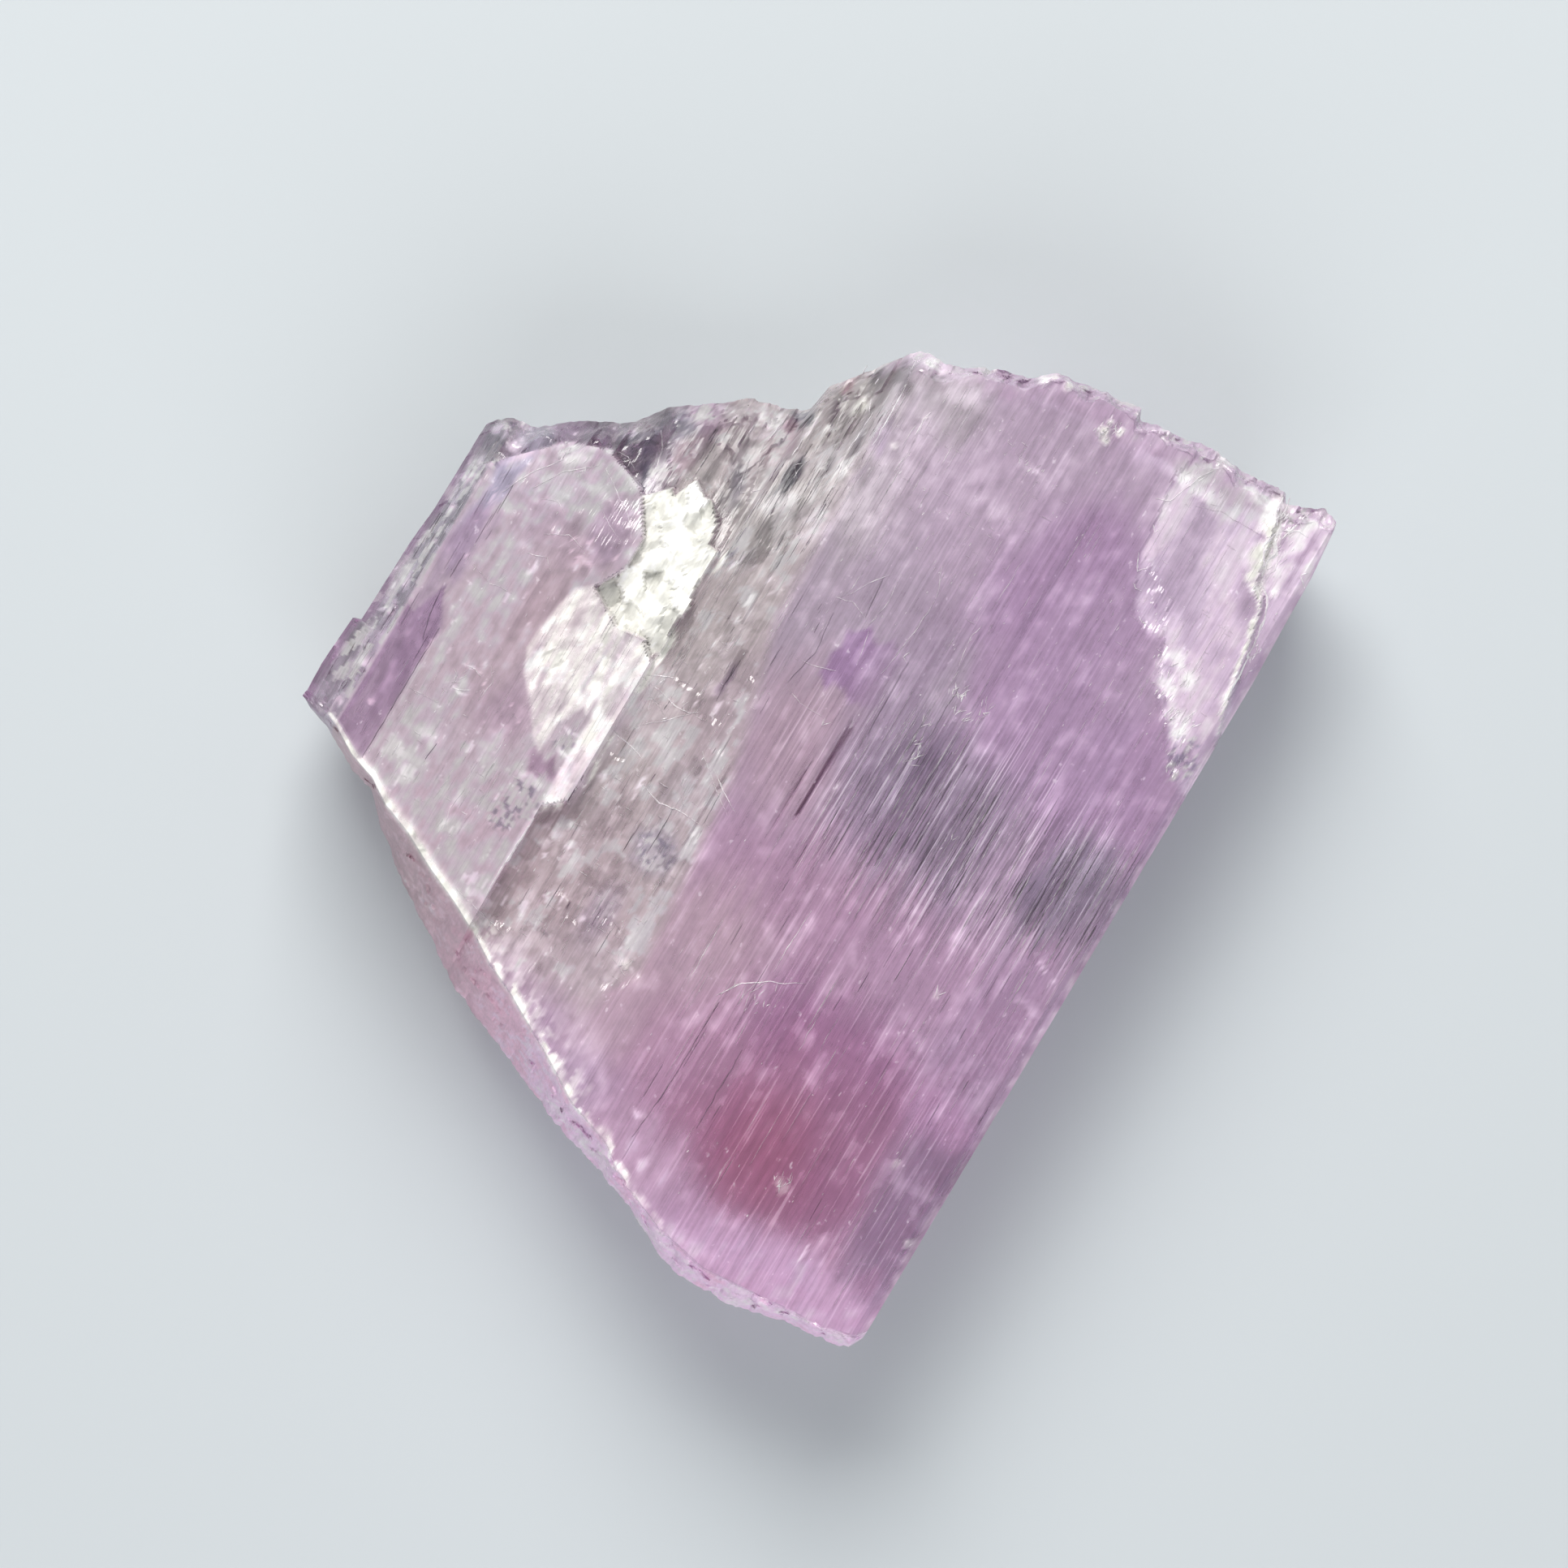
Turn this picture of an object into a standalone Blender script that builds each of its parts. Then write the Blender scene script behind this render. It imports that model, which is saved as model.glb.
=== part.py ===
"""Kunzite crystal: one flat, striated spodumene crystal lying on its back face.

Y runs along the crystal's length (its c axis, the direction of the striations), X runs across the
broad face and Z points up, away from the face that the crystal lies on. Shapes are written in
millimetres and turned into metres where the mesh is made.
"""
import math
import random

import bpy
from mathutils import Vector, noise

MM = 0.001

# Driving dimensions
THICKNESS = 19.0
LEFT_X = -33.0
RIGHT_X = 34.2
SEED = 41

# Left prism edge: x of the edge for each y, with a notch where a layer ends
LEFT_EDGE = [(-15.4, -34.0), (-12.7, -34.1), (-8.4, -33.7), (-7.6, -33.0), (0.0, -32.8), (3.4, -32.4),
             (11.6, -32.2)]

# Right prism edge: x of the edge for each y
RIGHT_EDGE = [(-37.0, 34.2), (26.0, 34.2), (31.0, 34.0), (36.0, 33.9), (41.0, 33.4)]

# Outline of the etched lower end: y for each x
LOWER_END = [(-34.2, -15.4), (-31.0, -17.0), (-27.2, -19.2), (-25.2, -19.7), (-22.7, -22.1),
             (-19.3, -24.9), (-14.0, -28.3), (-10.5, -30.7), (-4.6, -33.0), (2.4, -35.9), (8.5, -37.6),
             (12.1, -38.9), (16.2, -41.1), (19.0, -41.6), (23.0, -41.5), (28.6, -40.2), (32.0, -39.9),
             (33.6, -39.3), (34.2, -38.2)]

# Ridge where the broad face turns down into the etched lower end: y for each x
LOWER_RIDGE = [(-34.2, -14.9), (-30.0, -16.4), (-27.6, -17.8), (-25.1, -18.6), (-23.1, -19.9),
               (-20.2, -21.0), (-17.1, -22.6), (-13.9, -24.0), (-11.8, -25.1), (-8.7, -27.0),
               (-6.2, -28.1), (-3.5, -29.6), (0.1, -31.6), (3.0, -33.4), (7.4, -34.9), (9.1, -36.2),
               (12.2, -37.7), (14.7, -38.7), (19.6, -39.7), (25.7, -39.2), (31.0, -38.7), (33.4, -38.1),
               (34.2, -37.0)]

# Height of the lower end's outline: z for each x
LOWER_HEIGHT = [(-34.2, 11.0), (-25.0, 10.0), (-14.0, 7.5), (-5.0, 7.5), (3.0, 10.5), (9.0, 13.5),
                (16.0, 13.0), (26.0, 13.5), (34.2, 15.0)]

# Outline of the broken upper end: y for each x
UPPER_END = [(-33.0, 11.8), (-32.1, 12.7), (-30.8, 13.4), (-28.6, 13.7), (-25.7, 16.1), (-21.8, 18.3),
             (-19.9, 21.0), (-16.5, 23.5), (-14.1, 25.4), (-11.0, 26.0), (-9.6, 27.2), (-9.3, 29.4),
             (-6.8, 32.5), (-4.2, 35.8), (-0.7, 36.0), (2.0, 37.6), (5.2, 38.4), (6.7, 40.0),
             (12.6, 41.0), (15.1, 40.1), (21.0, 41.1), (24.8, 40.8), (28.4, 41.2), (28.9, 40.3),
             (32.0, 41.6), (34.2, 41.0)]

# Width of the slope along the broken upper end: millimetres of y for each x
UPPER_SLOPE = [(-32.2, 1.2), (-27.0, 2.6), (-21.0, 3.6), (-15.0, 3.0), (-8.0, 3.2), (-4.0, 2.4),
               (0.0, 1.2), (12.0, 1.0), (22.0, 1.4), (29.0, 1.8), (34.2, 1.2)]

# Height of the upper end's outline: z for each x
UPPER_HEIGHT = [(-32.2, 11.5), (-27.0, 12.5), (-21.0, 11.0), (-14.0, 8.5), (-9.0, 9.0), (-4.0, 13.5),
                (0.0, 15.5), (10.0, 15.0), (20.0, 16.0), (28.0, 15.0), (34.2, 15.5)]

# Bevels along the two prism edges: inner border and drop
LEFT_BEVEL_X = -30.2
LEFT_BEVEL_DROP = 6.2
LEFT_STRIPE_X = -26.4
LEFT_STRIPE_DROP = 0.9
RIGHT_BEVEL_X = 33.2
RIGHT_BEVEL_DROP = 0.9

# Raised outer layer on the left, bounded by crystal faces and a broken upper rim
LAYER = [(-31.5, -19.0), (-12.0, -27.0), (-12.0, -13.4), (-10.0, -11.9), (-10.0, 1.6), (-11.6, 3.0),
         (-14.0, 2.7), (-17.3, 4.6), (-15.9, 7.2), (-15.9, 10.2), (-18.3, 13.8), (-22.2, 15.2),
         (-25.5, 13.9), (-28.5, 10.9), (-31.5, 8.0)]
LAYER_RISE = 1.7
LEDGE_COLUMNS = (-15.9, -12.0, -10.0)

# Bright crumbling patch of cleavage flakes beside the raised layer
FLAKES = [(-17.3, 4.6), (-15.9, 7.2), (-15.9, 10.2), (-17.9, 13.2), (-14.9, 16.8), (-11.2, 14.8),
          (-10.0, 12.2), (-10.0, 1.6), (-11.6, 3.0), (-14.0, 2.7)]
FLAKES_RISE = 0.9
FLAKE_SIZE = 1.6
FLAKE_LUMP = 0.9

# Lower border of the broad right face towards the colourless zone: x for each y
FACE_BORDER = [(-24.0, 1.0), (-21.3, 2.6), (-12.2, 1.9), (-3.2, 0.9), (10.4, -2.8), (20.9, -3.1),
               (35.4, -4.7)]
ZONE_DROP = 0.6
ZONE_EDGE = (-1.0, 0.6)
ZONE_FADE_Y = (-29.0, -23.0)
BLOCK_SIZE = (2.6, 3.4)
BLOCK_WANDER = 0.3
BLOCK_STAGGER = 0.6
BLOCK_RISE = 0.3

# Splintered hollow that falls away towards the broken upper end
HOLLOW_X = (-24.0, -13.0, -6.5, -3.2)
HOLLOW_LENGTH = 15.0
HOLLOW_DROP = 5.6
SPLINTER_RISE = 1.3
SPLINTER_SIZE = (1.6, 9.0)

# Corner wedge split off along a crack at the upper right: x of the crack for each y
CRACK = [(20.0, 34.2), (24.6, 33.0), (28.2, 32.4), (31.9, 31.6), (33.2, 30.2), (38.8, 28.9), (41.5, 28.7)]
CRACK_HALF = 0.15
WEDGE_DROP = 1.0

# Growth steps on the broad face, and etched grooves cut along the striations: x, y range, depth
STEP_RISE = 0.22
FIRST_STEP_X = -3.7
GROOVES = [(6.95, -4.0, 6.6, 0.9), (5.65, -6.2, 1.4, 0.4), (9.3, -29.0, -25.5, 0.3),
           (13.6, -6.8, -0.5, 0.3)]
GROOVE_HALF = 0.25

# Back face: flat middle to rest on, and shallow growth steps on both sides of it
BACK_STEPS = [(-24.0, 1.0), (-23.8, 0.0), (15.0, 0.0), (15.2, 0.8), (24.0, 0.8), (24.2, 1.7)]

# Roughness of the surfaces: rise and lump size
FACE_WAVE = (0.12, 9.0)
LOWER_RAG = (0.25, 1.7)
UPPER_RAG = (0.35, 1.3)
END_BULGE = 0.7
END_LUMP = (0.9, 2.6)
CHIP = (0.9, 1.9)
SLOPE_CURVE = 1.4
SLOPE_LEAST = 0.8

# Side walls, from the front edge down to the back: inset for each share of the way down
RIGHT_WALL = [(0.0, 0.0), (0.56, 0.6), (1.0, 5.2)]
LEFT_WALL = [(0.0, 0.0), (0.36, 0.4), (1.0, 4.4)]
LOWER_WALL = [(0.0, 0.0), (0.36, 0.4), (0.56, 1.3), (1.0, 2.2)]
UPPER_WALL = [(0.0, 0.0), (0.18, 1.0), (0.36, 0.4), (0.56, 1.5), (0.78, 1.2), (1.0, 2.4)]
WALL_SHARES = [0.0, 0.18, 0.36, 0.56, 0.78, 1.0]
STRIATED_RIPPLE = 0.2
STRIATION_SIZE = (14.0, 1.2)
ETCHED_RIPPLE = 0.35
BROKEN_RIPPLE = 0.8
RIPPLE_SIZE = 2.4

# Mesh spacing
LEFT_CELL = 1.35
STEP_WIDTHS = (1.5, 3.8)
STEP_GAP = 0.25
END_ROWS = 4
FACE_ROWS = 30
SLOPE_ROWS = 3
LEDGE_HALF = 0.14


def along(points, t):
    """Value at t of a broken line, given as (t, value) pairs in rising t."""
    if t <= points[0][0]:
        return points[0][1]
    for (t0, v0), (t1, v1) in zip(points, points[1:]):
        if t <= t1:
            return v0 + (v1 - v0) * (t - t0) / (t1 - t0)
    return points[-1][1]


def ramp(low, high, t):
    """0 below low, 1 above high and a smooth rise between them."""
    s = min(max((t - low) / (high - low), 0.0), 1.0)
    return s * s * (3.0 - 2.0 * s)


def mix(a, b, share):
    return a + (b - a) * share


def rough(x, y, z, size, salt=0.0):
    """Smooth noise between -1 and 1 with lumps of about the given size."""
    return noise.noise(Vector((x / size + salt, y / size - salt, z / size + 2.0 * salt)))


def hash_step(i, j):
    """A fixed pseudo-random value between 0 and 1 for a block of the cleavage pattern."""
    value = math.sin(i * 127.1 + j * 311.7 + SEED) * 43758.5453
    return value - math.floor(value)


def crossings(polygon, x):
    """The y of every place where a closed outline crosses a column."""
    found = []
    for (x0, y0), (x1, y1) in zip(polygon, polygon[1:] + polygon[:1]):
        if (x0 > x) != (x1 > x):
            found.append(y0 + (x - x0) * (y1 - y0) / (x1 - x0))
    return found


def inside(polygon, x, y):
    """1 inside a closed outline, else 0."""
    return float(sum(place > y for place in crossings(polygon, x)) % 2)


def with_ledges(x, rows):
    """Moves the two rows nearest to each ledge right beside it, so that the ledge stays crisp."""
    rows = list(rows)
    taken = {0, len(rows) - 1}
    for place in sorted(crossings(LAYER, x) + crossings(FLAKES, x)):
        for j in range(1, len(rows) - 2):
            if rows[j] <= place < rows[j + 1] and not {j, j + 1} & taken:
                rows[j], rows[j + 1] = place - LEDGE_HALF, place + LEDGE_HALF
                taken |= {j, j + 1}
                break
    return rows


def growth_step(x):
    """Height of the growth step that x lies on."""
    heights = [height for start, height in STEPS if start <= x]
    return heights[-1] if heights else 0.0


def hollow(x, y):
    """How far the splintered hollow has opened at a point, from 0 to 1."""
    across = ramp(HOLLOW_X[0], HOLLOW_X[1], x) * (1.0 - ramp(HOLLOW_X[2], HOLLOW_X[3], x))
    below_end = along(UPPER_END, x) - y
    lengthwise = 1.0 - ramp(0.0, HOLLOW_LENGTH, below_end)
    return across * lengthwise


def zone(x, y):
    """Share of the lower, colourless zone at a point."""
    border = along(FACE_BORDER, y)
    return (1.0 - ramp(border + ZONE_EDGE[0], border + ZONE_EDGE[1], x)) * ramp(*ZONE_FADE_Y, y)


def blocks(x, y):
    """Small rectangular cleavage blocks, as heights between -0.5 and 0.5."""
    i = math.floor(x / BLOCK_SIZE[0] + BLOCK_WANDER * rough(x, y, 0.0, FACE_WAVE[1]))
    j = math.floor(y / BLOCK_SIZE[1] + BLOCK_STAGGER * (i % 2))
    return hash_step(i, j) - 0.5


def face_height(x, y):
    """Height of the broad front face, its ledges, bevels, hollow and grooves."""
    layer = inside(LAYER, x, y)
    flakes = inside(FLAKES, x, y) * (1.0 - layer)
    lowered = zone(x, y) * (1.0 - layer)
    opening = hollow(x, y) * (1.0 - flakes)
    splinters = noise.noise(Vector((x / SPLINTER_SIZE[0], y / SPLINTER_SIZE[1], 4.0)))
    z = THICKNESS - LAYER_RISE * (1.0 - layer)
    z += growth_step(x) * (1.0 - layer) + FACE_WAVE[0] * rough(x, y, 0.0, FACE_WAVE[1], 3.0)
    z += FLAKES_RISE * flakes * (1.0 + FLAKE_LUMP * rough(x, y, 0.0, FLAKE_SIZE, 7.0))
    z -= (ZONE_DROP - BLOCK_RISE * blocks(x, y) * (1.0 - flakes)) * lowered
    z -= HOLLOW_DROP * opening
    z += SPLINTER_RISE * splinters * min(1.0, 2.0 * opening) * (1.0 - layer)
    if y > CRACK[0][0]:
        z -= WEDGE_DROP * ramp(-CRACK_HALF, CRACK_HALF, x - along(CRACK, y))
    for groove_x, y0, y1, depth in GROOVES:
        if abs(x - groove_x) < GROOVE_HALF / 2.0 and y0 < y < y1:
            z -= depth
    if x < LEFT_STRIPE_X:
        z -= LEFT_STRIPE_DROP * min(1.0, (LEFT_STRIPE_X - x) / (LEFT_STRIPE_X - LEFT_BEVEL_X))
    if x < LEFT_BEVEL_X:
        z -= LEFT_BEVEL_DROP * (LEFT_BEVEL_X - x) / (LEFT_BEVEL_X - along(LEFT_EDGE, y))
    if x > RIGHT_BEVEL_X:
        z -= RIGHT_BEVEL_DROP * (x - RIGHT_BEVEL_X) / (RIGHT_X - RIGHT_BEVEL_X)
    return z


def make_steps():
    """Growth steps of the broad right face: the x where each begins, and its height."""
    draw = random.Random(SEED)
    steps = []
    x = FIRST_STEP_X
    while x < RIGHT_BEVEL_X - STEP_WIDTHS[0]:
        steps.append((x, draw.uniform(-1.0, 1.0) * STEP_RISE))
        x += draw.uniform(*STEP_WIDTHS)
    return steps


def make_columns():
    """The x of each mesh column: even on the left, in pairs at ledges and steps, in threes at grooves."""
    columns = [LEFT_X, mix(LEFT_X, LEFT_BEVEL_X, 0.5)]
    count = round((FIRST_STEP_X - LEFT_BEVEL_X) / LEFT_CELL)
    columns += [mix(LEFT_BEVEL_X, FIRST_STEP_X, i / count) for i in range(count)]
    for ledge_x in LEDGE_COLUMNS:
        columns = [x for x in columns if abs(x - ledge_x) > LEFT_CELL / 2.0]
        columns += [ledge_x - LEDGE_HALF, ledge_x + LEDGE_HALF]
    for start, _ in STEPS:
        columns += [start - STEP_GAP, start]
    columns += [RIGHT_BEVEL_X, RIGHT_X]
    for groove_x, _, _, _ in GROOVES:
        columns = [x for x in columns if abs(x - groove_x) > 2.0 * GROOVE_HALF]
        columns += [groove_x - GROOVE_HALF, groove_x, groove_x + GROOVE_HALF]
    return sorted(columns)


def column_x(x, y):
    """Shifts a column near the left or right edge so that the mesh follows the edge."""
    if x < LEFT_BEVEL_X:
        return mix(LEFT_BEVEL_X, along(LEFT_EDGE, y), (LEFT_BEVEL_X - x) / (LEFT_BEVEL_X - LEFT_X))
    if x > RIGHT_BEVEL_X:
        return mix(RIGHT_BEVEL_X, along(RIGHT_EDGE, y), (x - RIGHT_BEVEL_X) / (RIGHT_X - RIGHT_BEVEL_X))
    return x


def ragged(outline, rag, x, salt):
    """y of an end's outline at x, with small teeth."""
    return along(outline, x) + rag[0] * rough(x, 0.0, 0.0, rag[1], salt)


def front_column(x):
    """Points of the front along one column, from the lower outline to the upper one."""
    y_low, y_ridge = ragged(LOWER_END, LOWER_RAG, x, 11.0), along(LOWER_RIDGE, x)
    y_high = ragged(UPPER_END, UPPER_RAG, x, 17.0)
    y_shoulder = y_high - along(UPPER_SLOPE, x)
    ridge_z = face_height(column_x(x, y_ridge), y_ridge)
    points = []
    for j in range(END_ROWS):
        share = j / END_ROWS
        y = mix(y_low, y_ridge, share)
        px = column_x(x, y)
        bulge = END_BULGE + END_LUMP[0] * rough(px, y, 0.0, END_LUMP[1], 5.0)
        z = mix(along(LOWER_HEIGHT, px), ridge_z, share) + bulge * math.sin(math.pi * share)
        points.append((px, y, z))
    rows = [mix(y_ridge, y_shoulder, j / FACE_ROWS) for j in range(FACE_ROWS + 1)]
    for y in with_ledges(x, rows):
        px = column_x(x, y)
        points.append((px, y, face_height(px, y)))
    shoulder_z = points[-1][2]
    for j in range(1, SLOPE_ROWS + 1):
        share = j / SLOPE_ROWS
        y = mix(y_shoulder, y_high, share)
        px = column_x(x, y)
        end_z = min(along(UPPER_HEIGHT, px), shoulder_z - SLOPE_LEAST)
        chips = CHIP[0] * rough(px, y, 0.0, CHIP[1], 23.0) * math.sin(math.pi * share)
        points.append((px, y, mix(shoulder_z, end_z, share ** SLOPE_CURVE) + chips))
    return points


def wall_point(side, top, share, corners):
    """A point of a side wall: share 0 is the front's outline above it and 1 is the back."""
    x, y, z = top
    left, right, low, high = corners
    px = x + mix(along(LEFT_WALL, share), -along(RIGHT_WALL, share), (x - left) / (right - left))
    inset = mix(along(LOWER_WALL, share), -along(UPPER_WALL, share), (y - low) / (high - low))
    pz = mix(z, along(BACK_STEPS, px), share)
    middle = math.sin(math.pi * share)
    if side in ("left", "right"):
        ripple = noise.noise(Vector((y / STRIATION_SIZE[0], pz / STRIATION_SIZE[1], 31.0)))
        return px + STRIATED_RIPPLE * middle * ripple, y + inset, pz
    ripple = ETCHED_RIPPLE if side == "lower" else BROKEN_RIPPLE
    return px, y + inset + ripple * middle * rough(px, y, pz, RIPPLE_SIZE, 37.0), pz


def crystal_mesh():
    """The whole crystal as one closed mesh: front, four side walls and the stepped back."""
    front = [front_column(x) for x in make_columns()]
    last, top = len(front) - 1, len(front[0]) - 1
    vertices, index = [], {}
    for i, column in enumerate(front):
        for j, point in enumerate(column):
            index[0, i, j] = len(vertices)
            vertices.append(point)
    border = [(i, 0) for i in range(last)] + [(last, j) for j in range(top)]
    border += [(i, top) for i in range(last, 0, -1)] + [(0, j) for j in range(top, 0, -1)]
    faces = []
    for i in range(last):
        for j in range(top):
            faces.append((index[0, i, j], index[0, i + 1, j], index[0, i + 1, j + 1], index[0, i, j + 1]))
    for level, share in enumerate(WALL_SHARES[1:], 1):
        for i, j in border:
            side = "lower" if j == 0 else "upper" if j == top else "left" if i == 0 else "right"
            corners = (front[0][j][0], front[last][j][0], front[i][0][1], front[i][top][1])
            index[level, i, j] = len(vertices)
            vertices.append(wall_point(side, front[i][j], share, corners))
        for here, there in zip(border, border[1:] + border[:1]):
            faces.append((index[level, *here], index[level, *there], index[level - 1, *there],
                          index[level - 1, *here]))
    bottom = len(WALL_SHARES) - 1
    for i in range(last):
        loop = [index[bottom, i, 0]]
        if i == 0:
            loop += [index[bottom, 0, j] for j in range(1, top)]
        loop += [index[bottom, i, top], index[bottom, i + 1, top]]
        if i + 1 == last:
            loop += [index[bottom, last, j] for j in range(top - 1, 0, -1)]
        loop.append(index[bottom, i + 1, 0])
        faces.append(tuple(loop))
    return vertices, faces


def crystal_material():
    material = bpy.data.materials.new("kunzite")
    material.use_nodes = True
    shader = material.node_tree.nodes["Principled BSDF"]
    shader.inputs["Base Color"].default_value = (0.52, 0.34, 0.50, 1.0)
    shader.inputs["Roughness"].default_value = 0.2
    shader.inputs["Metallic"].default_value = 0.0
    shader.inputs["IOR"].default_value = 1.66
    shader.inputs["Transmission Weight"].default_value = 0.6
    return material


def build():
    for item in list(bpy.data.objects):
        bpy.data.objects.remove(item, do_unlink=True)
    vertices, faces = crystal_mesh()
    xs = [x for x, _, _ in vertices]
    ys = [y for _, y, _ in vertices]
    middle_x, middle_y = (min(xs) + max(xs)) / 2.0, (min(ys) + max(ys)) / 2.0
    mesh = bpy.data.meshes.new("kunzite_crystal")
    mesh.from_pydata([((x - middle_x) * MM, (y - middle_y) * MM, z * MM) for x, y, z in vertices], [], faces)
    mesh.materials.append(crystal_material())
    mesh.validate()
    crystal = bpy.data.objects.new("kunzite_crystal", mesh)
    bpy.context.scene.collection.objects.link(crystal)


STEPS = make_steps()
build()
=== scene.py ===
"""Looks of the kunzite crystal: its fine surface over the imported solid, its material, and a studio."""

import math
import random

import bpy
import numpy as np
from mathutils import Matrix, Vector, noise


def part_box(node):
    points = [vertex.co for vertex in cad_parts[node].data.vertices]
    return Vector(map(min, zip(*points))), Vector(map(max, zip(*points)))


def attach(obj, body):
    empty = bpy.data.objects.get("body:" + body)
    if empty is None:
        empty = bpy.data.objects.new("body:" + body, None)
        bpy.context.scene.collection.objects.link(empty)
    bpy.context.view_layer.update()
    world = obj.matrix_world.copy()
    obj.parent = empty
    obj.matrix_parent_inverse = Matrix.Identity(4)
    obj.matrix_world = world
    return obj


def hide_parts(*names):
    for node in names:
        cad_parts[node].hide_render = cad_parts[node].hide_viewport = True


MM = 0.001
SEED = 41

# Driving dimensions, in millimetres, as in the solid. Y runs along the crystal, X across, Z up
THICKNESS = 19.0
LEFT_X = -33.0
RIGHT_X = 34.2

# Outline of the front: the edges' x at each y, and the y of both ends and of the lower one's ridge at each x
LEFT_EDGE = [
    (-15.4, -34.1), (-12.7, -34.2), (-8.0, -33.9), (-7.8, -33.2), (0.0, -33.0), (3.4, -32.7), (11.6, -32.6),
]
RIGHT_EDGE = [(-37.0, 34.2), (26.0, 34.2), (31.0, 34.0), (36.0, 33.9), (41.0, 33.4)]
LOWER_END = [
    (-34.2, -15.4), (-31.0, -17.0), (-27.2, -19.2), (-25.2, -19.7), (-22.7, -22.1), (-19.3, -24.9),
    (-14.0, -28.3), (-10.5, -30.7), (-4.6, -33.0), (2.4, -35.9), (8.5, -37.6), (12.1, -38.9), (16.2, -41.1),
    (19.0, -41.6), (23.0, -41.5), (28.6, -40.2), (32.0, -39.9), (33.6, -39.3), (34.2, -38.2),
]
LOWER_RIDGE = [
    (-34.2, -14.9), (-30.0, -16.4), (-27.6, -17.8), (-25.1, -18.6), (-23.1, -19.9), (-20.2, -21.0),
    (-17.1, -22.6), (-13.9, -24.0), (-11.8, -25.1), (-8.7, -27.0), (-6.2, -28.1), (-3.5, -29.6),
    (0.1, -31.6), (3.0, -33.4), (7.4, -34.9), (9.1, -36.2), (12.2, -37.7), (14.7, -38.7), (19.6, -39.7),
    (25.7, -39.2), (31.0, -38.7), (33.4, -38.1), (34.2, -37.0),
]
UPPER_END = [
    (-33.0, 11.8), (-32.1, 12.7), (-30.8, 13.4), (-28.6, 13.7), (-25.7, 16.1), (-21.8, 18.3), (-19.9, 21.0),
    (-16.5, 23.5), (-14.1, 25.4), (-11.0, 26.0), (-9.6, 27.2), (-9.3, 29.4), (-6.8, 32.5), (-4.2, 35.8),
    (-0.7, 36.0), (2.0, 37.6), (5.2, 38.4), (6.7, 40.0), (14.3, 41.0), (14.8, 40.1), (21.0, 41.1),
    (24.8, 40.8), (28.4, 41.2), (28.9, 40.3), (32.0, 41.6), (34.2, 41.0),
]
# How far the upper end slopes in, and the heights at which both ends meet their walls, at each x
UPPER_SLOPE = [
    (-32.2, 1.2), (-27.0, 2.6), (-21.0, 3.6), (-15.0, 3.0), (-8.0, 3.2), (-4.0, 2.4), (0.0, 1.2),
    (12.0, 1.0), (22.0, 1.4), (29.0, 1.8), (34.2, 1.2),
]
LOWER_HEIGHT = [
    (-34.2, 11.0), (-25.0, 10.0), (-14.0, 7.5), (-5.0, 7.5), (3.0, 10.5), (9.0, 13.5), (16.0, 13.0),
    (26.0, 13.5), (34.2, 15.0),
]
UPPER_HEIGHT = [
    (-32.2, 11.5), (-27.0, 12.5), (-21.0, 11.0), (-14.0, 8.5), (-9.0, 9.0), (-4.0, 13.5), (0.0, 15.5),
    (10.0, 15.0), (20.0, 16.0), (28.0, 15.0), (34.2, 15.5),
]

# Bevels along both edges, and the slightly lower stripe beside the left one
LEFT_BEVEL_X = -30.2
LEFT_BEVEL_DROP = 6.2
LEFT_STRIPE_X = -26.4
LEFT_STRIPE_DROP = 0.9
RIGHT_BEVEL_X = 33.2
RIGHT_BEVEL_DROP = 0.9

# The raised left layer and the crumbly flakes beside it, as closed outlines
LAYER = [
    (-31.5, -19.0), (-11.7, -27.0), (-11.7, -13.4), (-10.0, -11.9), (-10.0, 1.6), (-11.6, 3.0),
    (-14.0, 2.7), (-17.3, 4.6), (-15.9, 7.2), (-15.9, 10.2), (-18.3, 13.8), (-22.2, 15.2), (-25.5, 13.9),
    (-28.5, 10.9), (-31.5, 8.0),
]
LAYER_LEDGES_X = (-11.7, -10.0)
LAYER_RISE = 1.7
FLAKES = [
    (-17.3, 4.6), (-15.9, 7.2), (-15.9, 10.2), (-17.9, 13.2), (-16.0, 15.2), (-15.6, 14.6), (-14.7, 16.8),
    (-13.3, 15.8), (-12.6, 15.9), (-11.2, 14.4), (-10.9, 12.6), (-9.9, 12.4), (-10.2, 9.0), (-9.6, 7.2),
    (-10.1, 5.2), (-9.7, 3.7), (-10.0, 1.6), (-11.6, 3.0), (-14.0, 2.7),
]
FLAKES_RISE = 0.9
FLAKE_LUMP = (0.9, 1.6)

# The lower, colourless zone between the layer and the broad right face: its border's x at each y, and its
# rectangular cleavage blocks
FACE_BORDER = [
    (-24.0, 1.0), (-21.3, 2.6), (-12.2, 1.9), (-3.2, 0.9), (10.4, -2.8), (20.9, -3.1), (35.4, -4.7),
]
ZONE_DROP = 0.6
ZONE_EDGE = (-1.0, 0.6)
ZONE_FADE_Y = (-29.0, -23.0)
BLOCK_SIZE = (2.6, 3.4)
BLOCK_WANDER = 0.3
BLOCK_STAGGER = 0.6
BLOCK_RISE = 0.3

# The splintered hollow of the upper end: the x where it begins, is deep from, is deep to, and ends
HOLLOW_X = (-24.0, -13.0, -6.5, -3.2)
HOLLOW_LENGTH = 15.0
HOLLOW_DROP = 5.6

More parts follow.
